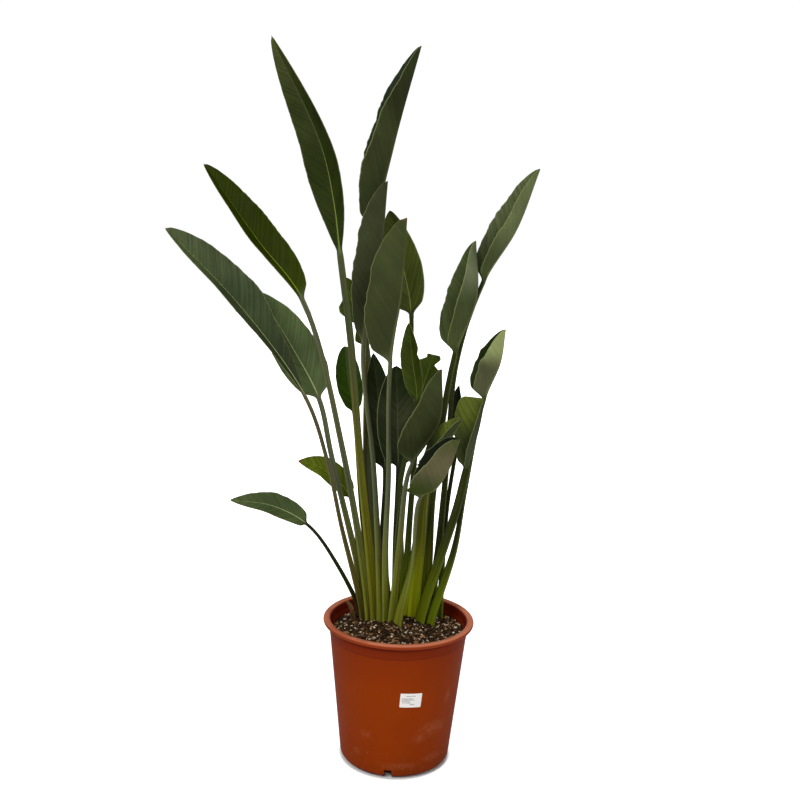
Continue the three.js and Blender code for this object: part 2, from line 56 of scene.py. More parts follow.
def makePlain(piece):
    # turns what the modifiers make into a plain mesh and takes the modifiers off
    depsgraph = bpy.context.evaluated_depsgraph_get()
    mesh = bpy.data.meshes.new_from_object(
        piece.evaluated_get(depsgraph), preserve_all_data_layers=True, depsgraph=depsgraph)
    piece.modifiers.clear()
    piece.data = mesh
    mesh.name = piece.name


def shadeByAngle(piece, degrees):
    # smooth faces, with creases kept where two faces meet at more than the angle
    mesh = piece.data
    mesh.polygons.foreach_set("use_smooth", [True] * len(mesh.polygons))
    mesh.set_sharp_from_angle(angle=math.radians(degrees))
    mesh.update()


def finishPiece(piece, slotName, *nodeNames):
    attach(piece, "root")
    if nodeNames:
        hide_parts(*nodeNames)


# Small helpers for node trees
class Wire:
    # a node's output; a sum written with wires adds its own math nodes
    def __init__(self, socket):
        self.socket = socket
        self.tree = socket.id_data

    def __add__(self, other):
        return calc("ADD", self, other)

    def __sub__(self, other):
        return calc("SUBTRACT", self, other)

    def __rsub__(self, other):
        return calc("SUBTRACT", other, self)

    def __mul__(self, other):
        return calc("MULTIPLY", self, other)

    def __truediv__(self, other):
        return calc("DIVIDE", self, other)

    def __pow__(self, other):
        return calc("POWER", self, other)

    def __gt__(self, other):
        return calc("GREATER_THAN", self, other)

    def __lt__(self, other):
        return calc("LESS_THAN", self, other)

    def __abs__(self):
        return calc("ABSOLUTE", self)


def feed(socket, value):
    # links a wire, or sets a plain value; a colour may leave out its alpha
    if isinstance(value, Wire):
        value.tree.links.new(value.socket, socket)
    elif isinstance(value, tuple) and len(value) < len(socket.default_value):
        socket.default_value = (*value, 1)
    elif value is not None:
        socket.default_value = value


def put(tree, kind, inputs=(), **settings):
    # adds a node; inputs is a list in socket order, or a dictionary by socket name or number
    node = tree.nodes.new(kind)
    for name, value in settings.items():
        setattr(node, name, value)
    for key, value in inputs.items() if isinstance(inputs, dict) else enumerate(inputs):
        feed(node.inputs[key], value)
    return node


def wire(tree, kind, inputs=(), output=0, **settings):
    return Wire(put(tree, kind, inputs, **settings).outputs[output])


def calc(operation, *values, clamp=False):
    tree = next(value.tree for value in values if isinstance(value, Wire))
    return wire(tree, "ShaderNodeMath", values, operation=operation, use_clamp=clamp)


def sine(value):
    return calc("SINE", value)


def cosine(value):
    return calc("COSINE", value)


def vectorCalc(operation, first, second=None, output=0):
    place = 3 if operation == "SCALE" else 1
    return wire(first.tree, "ShaderNodeVectorMath", {0: first, place: second}, output, operation=operation)


def ramp(value, low, high, toLow=0.0, toHigh=1.0):
    return wire(value.tree, "ShaderNodeMapRange", [value, low, high, toLow, toHigh],
                interpolation_type="SMOOTHSTEP")


def mixFloat(share, low, high):
    return wire(share.tree, "ShaderNodeMix", {0: share, 2: low, 3: high}, data_type="FLOAT")


def mixColour(share, low, high):
    return wire(share.tree, "ShaderNodeMix", {0: share, 6: low, 7: high}, 2, data_type="RGBA")


def reshape(geometry, kind, inputs=(), **settings):
    # the next node in a row of nodes that each change the mesh
    inputs = {"Geometry": geometry, **dict(inputs)}
    return wire(geometry.tree, "GeometryNode" + kind, inputs, **settings)


def noiseAt(place, scale, detail=2.0, output=0, **more):
    values = {"Vector": place, "Scale": scale, "Detail": detail, **more}
    return wire(place.tree, "ShaderNodeTexNoise", values, output)


def axes(vector):
    return [Wire(socket) for socket in put(vector.tree, "ShaderNodeSeparateXYZ", [vector]).outputs]


def joined(x, y, z=None):
    return wire(x.tree, "ShaderNodeCombineXYZ", [x, y, z])


def attribute(tree, name, output="Fac"):
    return wire(tree, "ShaderNodeAttribute", output=output, attribute_name=name)


def objectSpot(tree):
    return wire(tree, "ShaderNodeTexCoord", output="Object")


def newGroup(kind, name, inputs, outputs):
    # inputs and outputs: the names of the sockets of each socket type
    tree = bpy.data.node_groups.new(name, kind)
    for direction, sockets in (("INPUT", inputs), ("OUTPUT", outputs)):
        for socketType, labels in sockets.items():
            for label in labels:
                tree.interface.new_socket(name=label, in_out=direction, socket_type=socketType)
    given = {socket.name: Wire(socket) for socket in tree.nodes.new("NodeGroupInput").outputs}
    return tree, given, tree.nodes.new("NodeGroupOutput").inputs


def useGroup(tree, group, inputs=()):
    node = put(tree, "ShaderNodeGroup", inputs, node_tree=group)
    return {socket.name: Wire(socket) for socket in node.outputs}


def runNodes(piece, tree, values):
    # puts the tree on the piece, sets its inputs by identifier, and makes the result a plain mesh
    modifier = piece.modifiers.new(tree.name, "NODES")
    modifier.node_group = tree
    for item in tree.interface.items_tree:
        if item.in_out == "INPUT" and item.name in values:
            modifier[item.identifier] = values[item.name]
    makePlain(piece)


def newMaterial(name, values):
    # a Principled material; values are plain numbers set on the shader itself
    material = bpy.data.materials.new(name)
    material.use_nodes = True
    shader = material.node_tree.nodes["Principled BSDF"]
    for label, value in values.items():
        feed(shader.inputs[label], value)
    return material, material.node_tree, shader


def dress(shader, colour, roughness=None, height=None, strength=0.0, distance=0.0):
    # links colour, roughness and bump to a shader; what is left out stays as it was
    feed(shader.inputs["Base Color"], colour)
    feed(shader.inputs["Roughness"], roughness)
    if height is not None:
        bump = {"Strength": strength, "Distance": distance, "Height": height}
        feed(shader.inputs["Normal"], wire(height.tree, "ShaderNodeBump", bump))


floatIn = "NodeSocketFloat"
colourIn = "NodeSocketColor"
intIn = "NodeSocketInt"
meshIn = "NodeSocketGeometry"
materialIn = "NodeSocketMaterial"

# Leaves: each one is swept along its own middle line, stalk and blade in one closed skin
soilTop = 243
crownTop = 204
stalkShape = {
    "footWidth": 12, "footThickness": 5,  # half sizes at the soil, in millimetres
    "neckWidth": 4.3, "neckThickness": 3.3,  # and at the blade
    "stations": 34, "stubStations": 6, "bladeTaper": 0.7,
    "turnStart": 0.25,  # share of the stalk after which it turns to face as its blade does
    "groove": 0.45, "roundTop": 0.75, "skin": 0.0002,  # the skin in metres
}
bladeShape = {
    "stationStep": 2.2, "fewestStations": 24,
    "columns": 14, "smallColumns": 10, "smallHalf": 30,  # columns on each side of the rib
    "thickness": 0.5, "ribTipDepth": 0.7,  # half of the blade's thickness, and how deep the rib ends
    "relief": 0.16, "veinSpacing": 12, "edgeCrinkle": 2.2,
    "blendEnd": 0.09, "tipStart": 0.985,  # shares of the blade where stalk ends and tip starts
    "ribCrowding": 1.5, "marginCrowding": 1.25, "ribTaper": 0.6, "weld": 2e-6,
    "crinkleSize": 55.0, "crinkleGrowth": 2.5, "crinkleSpread": 0.7, "crinkleApart": 7.0,
    "ribTop": 0.0004, "ribNarrowest": 0.0006,  # metres, as are the weld and the half widths below
    "reliefHalf": (0.008, 0.030),  # half widths between which the veins come to stand out fully
}
# side veins, tissue and streaks are measured in metres, so a scale says how many there are a metre
veinShape = {
    "spacing": 0.0058, "slant": 1.05, "bend": 4.0,
    "broadScale": 1.15, "broadWander": 9.0, "fineScale": 330.0, "fineWander": 12.0,
    "broadMask": (0.34, 0.66), "fineMask": (0.3, 0.7), "broadHeight": 0.95, "fineHeight": 0.05,
}
tissueShape = {
    "mottleScale": 16.0, "mottleTone": (0.84, 1.16), "patchScale": 5.0, "patchTone": (0.72, 1.28),
    "tintAndHighlightFadeIn": 0.35, "tintAndHighlightFadeOut": 0.3, "underContrast": 0.42, "fineContrast": 0.3,
    "ribAbove": 0.45, "ribBlend": 0.55, "ribUnder": 0.75,  # its width above, soft edge, strength below
    "margin": (0.965, 0.995), "edgeHighlightStrength": 0.7,
    "dryLength": 1.6, "dryRagged": 0.08, "dryBlend": 0.03,
    "roughUnder": 0.55, "roughUpper": 0.4, "roughDry": 0.75, "roughMottle": (-0.05, 0.07),
    "veinHeight": 0.8, "mottleHeight": 0.15,
}
streakShape = {
    "wide": (230.0, 3.2), "fine": (1100.0, 9.0),  # how many a metre across and along the stalk
    "footBlend": 0.14, "footFull": 0.25, "footRagged": 0.5, "mask": (0.48, 0.62), "neckShare": 0.2,
    "fineTone": (0.72, 1.25), "margin": (0.93, 0.99), "edgeHighlightStrength": 0.45,
}
facesFrontRight = [0.8, -0.6, 0]  # the hollowed side of a stalk faces the middle of its fan
facesBackLeft = [-0.8, 0.6, 0]
facesFrontLeft = [-0.8, -0.6, 0]
facesFront = [-0.3, -0.95, 0]
# what a leaf has unless its own entry says otherwise
usualLeaf = {
    "footFace": facesFrontRight, "curl": [12, 12], "wave": [1.5, 2, 0], "stout": 1, "fade": 150,
    "dryTip": 0.01, "streaks": 0.5, "sheen": 0.07, "tears": [],
}
# millimetres and degrees. Each tear: left edge 0 or right edge 1, where along the blade, how far it
# reaches along it, and how deep it is, as shares
leaves = {
    "leaf_a": dict(
        foot=(-44, 36), stalk=[(-84, 40, 575), (-106, 60, 775)],
        blade=[(-129, 70, 925), (-146, 98, 1030), (-174, 118, 1134), (-274, 150, 1333)], half=42,
        ends=(1, 0.8), face=(0.1, -0.95, 0.1), tipFace=(-0.3, -0.9, 0.1), fold=(18, 46), curl=(10, 14),
        wave=(1.5, 2.5, 0), stout=1.1, fade=380, streaks=0.7, look="deep", stalkLook="straw"),
    "leaf_b": dict(
        foot=(-55, 38), stalk=[(-115, 50, 570)],
        blade=[(-198, 90, 842), (-291, 125, 955), (-401, 160, 1096)], half=42, ends=(0.6, 0.7),
        face=(0.25, -0.8, 0.4), fold=(46, 18), curl=(14, 12), wave=(1.5, 3, 1), fade=220, sheen=0.02,
        look="olive", stalkLook="sage"),
    "leaf_c": dict(
        foot=(-67, 41), stalk=[(-112, 23, 430), (-141, 8, 560)],
        blade=[(-181, -6, 676), (-299, 10, 830), (-445, 40, 970)], half=47, ends=(0.95, 0.7),
        face=(0.35, -0.75, 0.5), fold=(42, 14), curl=(14, 14), wave=(1.5, 3, 2), stout=0.85, fade=110,
        streaks=0.6, look="silver", stalkLook="brown", tears=[(1, 0, 0.5, 0.6)]),
    "leaf_d": dict(
        foot=(-60, 62), stalk=[(-136, 45, 562)],
        blade=[(-164, 80, 661), (-222, 110, 758), (-290, 130, 857)], half=48, ends=(0.5, 0.75),
        face=(0.15, -0.9, 0.3), fold=(20, 14), curl=(12, 14), wave=(1.5, 2.5, 0.5), dryTip=0.0,
        look="bright", stalkLook="sage"),
    "leaf_v": dict(
        foot=(-74, 62), stalk=[(-122, 40, 355)],
        blade=[(-175, 10, 436), (-240, -10, 475), (-312, -30, 488)], half=25, ends=(0.55, 0.85),
        face=(0.2, -0.75, 0.6), fold=(20, 20), curl=(14, 14), wave=(1, 2, 0), stout=0.5, dryTip=0.0,
        streaks=0.3, look="fresh", stalkLook="dark"),
    "sheath": dict(
        foot=(-85, 38), stalk=[], blade=[(-89, 35, 260), (-94, 32, 272), (-99, 29, 283)], half=6,
        ends=(0.3, 0.4), face=(0.8, -0.6, 0.2), fold=(20, 20), curl=(30, 30), wave=(0.5, 2, 0), stout=0.55,
        dryTip=1.0, streaks=1.0, look="dry", stalkLook="dry"),
    "leaf_w": dict(
        foot=(-58, 92), stalk=[(-80, 90, 345)], blade=[(-100, 85, 470), (-150, 75, 525), (-200, 60, 545)],
        half=26, ends=(0.55, 0.85), face=(0.2, -0.8, 0.5), fold=(24, 20), curl=(14, 14), wave=(1.5, 2, 1),
        stout=0.6, dryTip=0.05, streaks=0.3, look="lime", stalkLook="lime"),
    "leaf_e": dict(
        foot=(-46, 94), stalk=[(-75, 95, 425)],
        blade=[(-98, 110, 632), (-112, 125, 695), (-122, 150, 757)], half=26, ends=(0.5, 0.6),
        face=(0.1, -0.95, 0.2), fold=(14, 14), wave=(1, 2, 0), stout=0.8, fade=220, dryTip=0.0,
        look="forest", stalkLook="lime"),
    "leaf_j": dict(
        foot=(-33, 96), stalk=[(-65, 110, 500)],
        blade=[(-80, 130, 760), (-105, 130, 830), (-125, 130, 890)], half=34, ends=(0.35, 0.6),
        face=(0.1, -0.95, 0.2), fold=(20, 20), wave=(2, 3, 0), fade=420, streaks=0.9, look="young",
        stalkLook="rush", tears=[(0, 0.28, 0.24, 0.85), (0, 0.8, 0.2, 0.85)]),
    "leaf_f": dict(
        foot=(-46, 59), stalk=[(-75, 65, 590)], blade=[(-68, 60, 970), (-38, 80, 1135), (6, 95, 1312)],
        half=55, ends=(0.5, 0.75), face=(-0.9, 0.1, 0.1), tipFace=(-0.87, -0.48, 0.1), fold=(46, 52),
        curl=(14, 14), wave=(2, 3, 0), fade=260, dryTip=0.015, streaks=0.9, footFace=facesBackLeft,
        look="slate", stalkLook="olive"),
    "leaf_g": dict(
        foot=(-34, 34), stalk=[(-55, 10, 545)], blade=[(-80, -20, 775), (-55, -25, 920), (-45, -35, 1060)],
        half=46, ends=(0.8, 0.7), face=(-0.85, 0.35, 0.1), fold=(44, 44), curl=(10, 16),
        wave=(1.5, 2.5, 0), fade=260, dryTip=0.0, footFace=facesBackLeft, look="moor", stalkLook="sage"),
    "leaf_h": dict(
        foot=(-24, 32), stalk=[(-29, 0, 395), (-27, -35, 535)],
        blade=[(-30, -90, 750), (-15, -105, 875), (-10, -125, 995)], half=58, ends=(0.5, 0.62),
        face=(-0.8, 0.45, 0.1), fold=(42, 42), curl=(10, 18), wave=(2, 2.5, 1), fade=240, dryTip=0.015,
        streaks=0.4, footFace=facesBackLeft, look="slate", stalkLook="sage"),
    "leaf_m": dict(
        foot=(-12, 28), stalk=[(-3, 8, 405), (5, -35, 535)],
        blade=[(14, -45, 570), (58, -72, 652), (58, -90, 745)], half=60, ends=(0.5, 0.7),
        face=(-0.8, 0.3, 0.4), tipFace=(-0.88, 0, 0.4), fold=(46, 44), curl=(12, 14), stout=1.1, fade=220,
        footFace=facesBackLeft, look="slate", stalkLook="sage"),
    "leaf_n": dict(
        foot=(-20, 97), stalk=[(-35, 90, 385)], blade=[(-35, 90, 525), (-50, 100, 640), (-65, 105, 750)],
        half=36, ends=(0.5, 0.8), face=(0.1, -0.95, 0.2), fold=(24, 24), stout=0.85, dryTip=0.0,
        streaks=0.3, look="shade", stalkLook="dark"),
    "leaf_x": dict(
        foot=(-7, 98), stalk=[(-10, 90, 390)], blade=[(-10, 70, 535), (-15, 70, 640), (-20, 75, 730)],
        half=44, ends=(0.45, 0.6), face=(-0.1, -0.95, 0.1), fold=(30, 24), wave=(1.5, 2, 1), stout=0.85,
        dryTip=0.0, streaks=0.3, look="shade", stalkLook="dark"),
    "leaf_i": dict(
        foot=(8, 98), stalk=[(-5, 110, 480)], blade=[(5, 80, 825), (-12, 115, 910), (-43, 155, 1020)],
        half=51, ends=(0.5, 0.8), face=(-0.3, -0.9, 0.2), fold=(18, 26), curl=(12, 14), wave=(1.5, 2.5, 1),
        streaks=0.4, footFace=facesFrontLeft, look="meadow", stalkLook="leafy"),
    "leaf_k": dict(
        foot=(-8, 58), stalk=[(-10, 40, 400), (-5, 30, 520)],
        blade=[(20, 20, 670), (10, 20, 745), (0, 15, 815)], half=24, ends=(0.6, 0.8), face=(-0.3, -0.9, 0),
        fold=(30, 30), curl=(14, 14), footFace=facesBackLeft, look="young", stalkLook="leafy",
        tears=[(1, 0.6, 0.08, 0.3)]),
    "leaf_s": dict(
        foot=(-2, 8), stalk=[(20, -20, 375)],
        blade=[(30, -80, 518), (54, -108, 540), (76, -132, 584), (90, -148, 636)], half=54,
        ends=(0.4, 0.5), face=(-0.75, 0.1, 0.6), fold=(68, 42), curl=(12, 14), stout=1.05,
        footFace=facesFrontLeft, look="tan", stalkLook="sage"),
    "leaf_t": dict(
        foot=(23, 50), stalk=[(34, 12, 415)], blade=[(47, -34, 545), (73, -60, 606), (98, -76, 658)],
        half=33, ends=(0.5, 0.6), face=(-0.6, -0.4, 0.6), fold=(42, 50), curl=(20, 20), wave=(1, 2, 0),
        stout=1.45, fade=600, streaks=0.9, footFace=facesFront, look="spring", stalkLook="lime"),
    "leaf_l": dict(
        foot=(12, 72), stalk=[(15, 52, 440)], blade=[(30, 65, 682), (38, 75, 715), (50, 90, 752)], half=25,
        ends=(0.5, 0.25), face=(-0.3, -0.9, 0.1), fold=(24, 24), wave=(2, 2, 0), dryTip=0.02, streaks=0.4,
        footFace=facesFrontLeft, look="young", stalkLook="leafy",
        tears=[(1, 0.75, 0.12, 0.6), (0, 0.9, 0.14, 0.5)]),
    "leaf_p": dict(
        foot=(46, 64), stalk=[(50, 42, 370), (54, 30, 490)],
        blade=[(85, 5, 760), (118, -3, 865), (113, 2, 965)], half=54, ends=(0.5, 0.75),
        face=(-0.87, -0.45, 0.2), fold=(56, 60), curl=(10, 10), stout=1.25, fade=420, streaks=0.9,
        footFace=facesFront, look="moss", stalkLook="leafy"),
    "leaf_o": dict(
        foot=(60, 84), stalk=[(70, 55, 360), (80, 50, 540), (90, 40, 740)],
        blade=[(130, 20, 890), (184, 4, 987), (218, -12, 1091)], half=45, ends=(0.55, 0.75),
        face=(-0.88, -0.43, 0.2), fold=(50, 58), wave=(1.5, 2.5, 0), stout=1.1, fade=260, streaks=0.6,
        footFace=facesFrontLeft, look="mint", stalkLook="leafy"),
    "leaf_u": dict(
        foot=(79, 58), stalk=[(85, 60, 460)], blade=[(100, 70, 595), (100, 70, 650), (99, 70, 698)],
        half=19, ends=(0.5, 0.8), face=(-0.6, -0.7, 0.1), fold=(30, 30), wave=(1, 2, 0), stout=0.8,
        dryTip=0.0, streaks=0.3, footFace=facesFrontLeft, look="shade", stalkLook="leafy"),
    "leaf_r": dict(
        foot=(40, 27), stalk=[(74, 5, 385), (99, -8, 480)],
        blade=[(114, -8, 553), (131, -20, 628), (140, -25, 688)], half=48, ends=(0.5, 0.15),
        face=(-0.5, -0.85, 0.2), fold=(30, 76), curl=(14, 10), stout=1.15, fade=260, streaks=0.6,
        footFace=facesFrontLeft, look="spring", stalkLook="leafy", tears=[(1, 1, 0.7, 0.8)]),
    "leaf_q": dict(
        foot=(60, 20), stalk=[(98, 2, 398), (113, 0, 510)],
        blade=[(140, 0, 680), (166, 0, 750), (172, -10, 811)], half=43, ends=(0.4, 0.7),
        face=(-0.95, -0.2, 0.2), fold=(52, 58), curl=(24, 24), fade=240, dryTip=0.015,
        footFace=facesFrontLeft, look="pale", stalkLook="leafy"),
}
leaves = {name: {**usualLeaf, **leaf} for name, leaf in leaves.items()}


def curvePoint(points, t):
    # centripetal Catmull-Rom curve through the points, t from 0 to 1 over all of them
    last = len(points) - 1
    place = min(max(t, 0.0), 1.0) * last
    index = min(int(place), last - 1)
    weight = place - index
    start, stop = points[index], points[index + 1]
    before = points[index - 1] if index > 0 else 2 * points[0] - points[1]
    after = points[index + 2] if index + 2 <= last else 2 * points[last] - points[last - 1]
    gapBefore, gapHere, gapAfter = (
        math.sqrt(np.linalg.norm(b - a)) for a, b in ((before, start), (start, stop), (stop, after)))
    slopeStart = ((start - before) / gapBefore - (stop - before) / (gapBefore + gapHere)
                  + (stop - start) / gapHere) * gapHere
    slopeStop = ((stop - start) / gapHere - (after - start) / (gapHere + gapAfter)
                 + (after - stop) / gapAfter) * gapHere
    cubic = 2 * (start - stop) + slopeStart + slopeStop
    square = 3 * (stop - start) - 2 * slopeStart - slopeStop
    return start + slopeStart * weight + square * weight ** 2 + cubic * weight ** 3


def smoothStep(value, low, high):
    share = min(max((value - low) / (high - low), 0.0), 1.0)
    return share * share * (3 - 2 * share)


def halfWidths(leaf, share):
    # the blade's left and right half widths, less where the leaf is torn
    baseEnd, tipEnd = leaf["ends"]
    widest = baseEnd / (baseEnd + tipEnd)
    half = leaf["half"] * (share / widest) ** baseEnd * (max(0.0, 1 - share) / (1 - widest)) ** tipEnd
    sides = [half, half]
    for edge, at, reach, depth in leaf["tears"]:
        sides[edge] *= 1 - depth * max(0.0, 1 - abs(share - at) / reach)
    return sides


def middleLine(name, leaf):
    # a mesh of bare points along the leaf that carries what the sweep needs to know at each station
    shape = stalkShape
    x, y = leaf["foot"]
    spots = [[x, y, crownTop], [x, y, soilTop + 4], *leaf["stalk"], *leaf["blade"]]
    points = [np.array(spot, float) for spot in spots]
    bladeStart = 1 - (len(leaf["blade"]) - 1) / (len(points) - 1)
    bladeLength = sum(math.dist(a, b) for a, b in zip(leaf["blade"][:-1], leaf["blade"][1:]))
    bladeCount = max(bladeShape["fewestStations"], round(bladeLength / bladeShape["stationStep"]))
    stalkCount = shape["stations"] if leaf["stalk"] else shape["stubStations"]
    stations = [bladeStart * step / stalkCount for step in range(stalkCount)]
    stations += [bladeStart + (1 - bladeStart) * step / bladeCount for step in range(bladeCount + 1)]
    footFace, face = np.array(leaf["footFace"], float), np.array(leaf["face"], float)
    tipFace = np.array(leaf.get("tipFace", leaf["face"]), float)
    neck = leaf["stout"] * shape["neckThickness"]
    nudge = 1e-4
    places, rows = [], []
    travelled = 0.0
    for t in stations:
        place = curvePoint(points, t)
        tangent = curvePoint(points, t + nudge) - curvePoint(points, t - nudge)
        tangent /= np.linalg.norm(tangent)
        share = max(0.0, (t - bladeStart) / (1 - bladeStart))
        upward = footFace + (face - footFace) * smoothStep(t, shape["turnStart"] * bladeStart, bladeStart)
        upward += (tipFace - upward) * share
        upward -= tangent * upward.dot(tangent)
        upward /= np.linalg.norm(upward)
        if places:
            travelled += np.linalg.norm(place - places[-1])
        fade = math.exp(-max(0.0, place[2] - soilTop) / leaf["fade"])
        left, right = halfWidths(leaf, share)
        width = shape["neckWidth"] + (shape["footWidth"] - shape["neckWidth"]) * fade
        thick = shape["neckThickness"] + (shape["footThickness"] - shape["neckThickness"]) * fade
        places.append(place)
        rows.append({
            "sideways": np.cross(tangent, upward), "upward": upward, "share": share,
            "along": travelled * mm, "leftHalf": left * mm, "rightHalf": right * mm,
            "stalkWidth": leaf["stout"] * width * (1 - shape["bladeTaper"] * share) * mm,
            "stalkThickness": leaf["stout"] * thick * mm,
            "ribDepth": (neck + (bladeShape["ribTipDepth"] - neck) * math.sqrt(share)) * mm,
        })
    line = makeObject(name, [place * mm for place in places], [])
    for key in rows[0]:
        kind, field = ("FLOAT_VECTOR", "vector") if key in ("sideways", "upward") else ("FLOAT", "value")
        stored = line.data.attributes.new(key, kind, "POINT")
        stored.data.foreach_set(field, np.array([row[key] for row in rows], np.float32).ravel())
    return line


def veinPlace(along, outward, slant):
    # the same all along one side vein, and larger from one vein to the next
    return along - outward * slant - outward * outward * veinShape["bend"]


def leafTree():
    # bends a flat grid round each station of the middle line: upper face out, lower face back
    tree, given, result = newGroup("GeometryNodeTree", "leafSweep", {
        meshIn: ["Middle Line"], intIn: ["Columns"], materialIn: ["Leaf Skin"],
        floatIn: ["Fold Left", "Fold Right", "Curl Left", "Curl Right", "Wave Height", "Waves",
                  "Wave Start", "Thickness", "Relief", "Vein Spacing", "Vein Slant", "Edge Crinkle",
                  "Seed"],
    }, {meshIn: ["Leaf"]})
    shape = bladeShape
    line, columns = given["Middle Line"], given["Columns"]
    stations = wire(tree, "GeometryNodeAttributeDomainSize", [line], "Point Count", component="MESH")
    ring = columns * 4.0 + 2.0
    face = columns * 2.0 + 1.0
    skin = wire(tree, "GeometryNodeMeshGrid", {
        "Size X": 1.0, "Size Y": 1.0, "Vertices X": ring + 1.0, "Vertices Y": stations})
    position = wire(tree, "GeometryNodeInputPosition")
    x, y, _ = axes(position)
    step = calc("MODULO", calc("ROUND", (x + 0.5) * ring), ring)
    row = calc("ROUND", (y + 0.5) * (stations - 1.0))

    def atStation(value, kind):
        values = {"Geometry": line, "Value": value, "Index": row}
        return wire(tree, "GeometryNodeSampleIndex", values, data_type=kind, domain="POINT")

    def carried(name, kind="FLOAT"):
        # the middle line's own value at this station
        value = wire(tree, "GeometryNodeInputNamedAttribute", {"Name": name}, data_type=kind)
        return atStation(value, kind)

    # upper face runs from the left margin to the right one, the lower face comes back
    upper = step < face - 0.5
    column = mixFloat(upper, 1.0 - (step - face) / columns, step / columns - 1.0)
    # columns lie closer together at the rib and at the margin
    reach = 1.0 - (1.0 - abs(column) ** shape["ribCrowding"]) ** shape["marginCrowding"]
    side = calc("SIGN", calc("ROUND", column * 1000.0))
    onRight = column > 0.0

    share, along, stalkWidth = carried("share"), carried("along"), carried("stalkWidth")
    onBlade = ramp(share, 0.0, shape["blendEnd"])
    half = mixFloat(onRight, carried("leftHalf"), carried("rightHalf"))
    half = calc("MAXIMUM", half, stalkWidth * (1.0 - share)) * ramp(share, 1.0, shape["tipStart"])
    fold = mixFloat(onRight, given["Fold Left"], given["Fold Right"])
    curl = mixFloat(onRight, given["Curl Left"], given["Curl Right"])
    angle = curl * reach + fold

    # a ripple that grows towards the margin, and a small crinkle at the very edge
    middling = sine(share * math.pi)
    wavePlace = given["Waves"] * share * (2 * math.pi) + (given["Wave Start"] + onRight * 2.0)
    ripple = sine(wavePlace) * middling * given["Wave Height"] * reach ** 2.0
    roughPlace = joined(along * shape["crinkleSize"], side * shape["crinkleApart"], given["Seed"])
    crinkle = (noiseAt(roughPlace, 1.0) - 0.5) * (given["Edge Crinkle"] * shape["crinkleGrowth"])
    crinkle = crinkle * (reach ** 4.0 * middling)
    half = crinkle * shape["crinkleSpread"] + half

    bladeAcross = half * (sine(angle) - sine(fold)) / curl * side
    bladeLift = half * (cosine(fold) - cosine(angle)) / curl + (ripple + crinkle)
    roundColumn = column * (math.pi / 2)
    across = mixFloat(onBlade, stalkWidth * sine(roundColumn), bladeAcross)

    # the rib: rounded below, a shallow groove above; and the veins in low relief beside it
    acrossBlade = half * reach
    ribWidth = calc("MAXIMUM", stalkWidth * (1.0 - share) ** shape["ribTaper"], shape["ribNarrowest"])
    offRib = calc("MINIMUM", acrossBlade / ribWidth, 1.0)
    dome = calc("SQRT", calc("SUBTRACT", 1.0, offRib * offRib, clamp=True))
    relief = veinPlace(along, acrossBlade, given["Vein Slant"]) / given["Vein Spacing"]
    relief = sine(relief * (2 * math.pi)) * given["Relief"] * (offRib * (1.0 - dome))
    relief = relief * (onBlade * sine(reach * math.pi))
    relief = relief * ramp(half, *shape["reliefHalf"])
    bladeUp = dome * shape["ribTop"] + given["Thickness"]
    bladeDown = dome * carried("ribDepth") + given["Thickness"]
    bladeOut = mixFloat(upper, bladeDown * -1.0, bladeUp) + relief
    roundness, stalkThickness = cosine(roundColumn), carried("stalkThickness")
    stalkUp = roundness * stalkShape["roundTop"] - roundness ** 4.0 * stalkShape["groove"]
    stalkUp = stalkUp * stalkThickness + stalkShape["skin"]
    stalkDown = roundness * -1.0 * stalkThickness - stalkShape["skin"]
    stalkOut = mixFloat(upper, stalkDown, stalkUp)
    out = mixFloat(onBlade, stalkOut, bladeOut)
    lean = angle * offRib * onBlade

    # the first and the last ring close to a point
    ends = (row > 0.5) * (row < stations - 1.5)
    across = (across - side * out * sine(lean)) * ends
    lift = (out * cosine(lean) + bladeLift * onBlade) * ends
    spot = atStation(position, "FLOAT_VECTOR")
    for direction, distance in (("sideways", across), ("upward", lift)):
        spot = vectorCalc("ADD", spot, vectorCalc("SCALE", carried(direction, "FLOAT_VECTOR"), distance))

    kept = {"leafMap": joined(acrossBlade * side, along, share), "stalkMap": stalkWidth * roundColumn,
            "upper": upper, "reach": reach, "onBlade": onBlade, "ribWidth": ribWidth}
    for name, value in kept.items():
        kind = "FLOAT_VECTOR" if name == "leafMap" else "FLOAT"
        skin = reshape(skin, "StoreNamedAttribute", {"Name": name, "Value": value},
                       data_type=kind, domain="POINT")
    skin = reshape(skin, "SetPosition", {"Position": spot})
    skin = reshape(skin, "MergeByDistance", {"Distance": shape["weld"]})
    skin = reshape(skin, "SetShadeSmooth")
    skin = reshape(skin, "RealizeInstances")
    feed(result["Leaf"], reshape(skin, "SetMaterial", {"Material": given["Leaf Skin"]}))
    return tree


def veinGroup():
    # slanting side veins and a fine parallel weave, read from the leaf's own map
    tree, given, result = newGroup("ShaderNodeTree", "slantingVeins", {floatIn: ["Seed"]}, {
        floatIn: ["Broad", "Fine", "Height"]})
    across, along, _ = axes(attribute(tree, "leafMap", "Vector"))
    v = veinShape
    place = veinPlace(along, abs(across), v["slant"])
    broad = joined(place / v["spacing"], across * v["broadWander"], given["Seed"])
    broad = noiseAt(broad, v["broadScale"])
    fine = noiseAt(joined(place * v["fineScale"], across * v["fineWander"], given["Seed"]), 1.0, 1.0)
    feed(result["Broad"], ramp(broad, *v["broadMask"]))
    feed(result["Fine"], ramp(fine, *v["fineMask"]))
    feed(result["Height"], broad * v["broadHeight"] + fine * v["fineHeight"])
    return tree


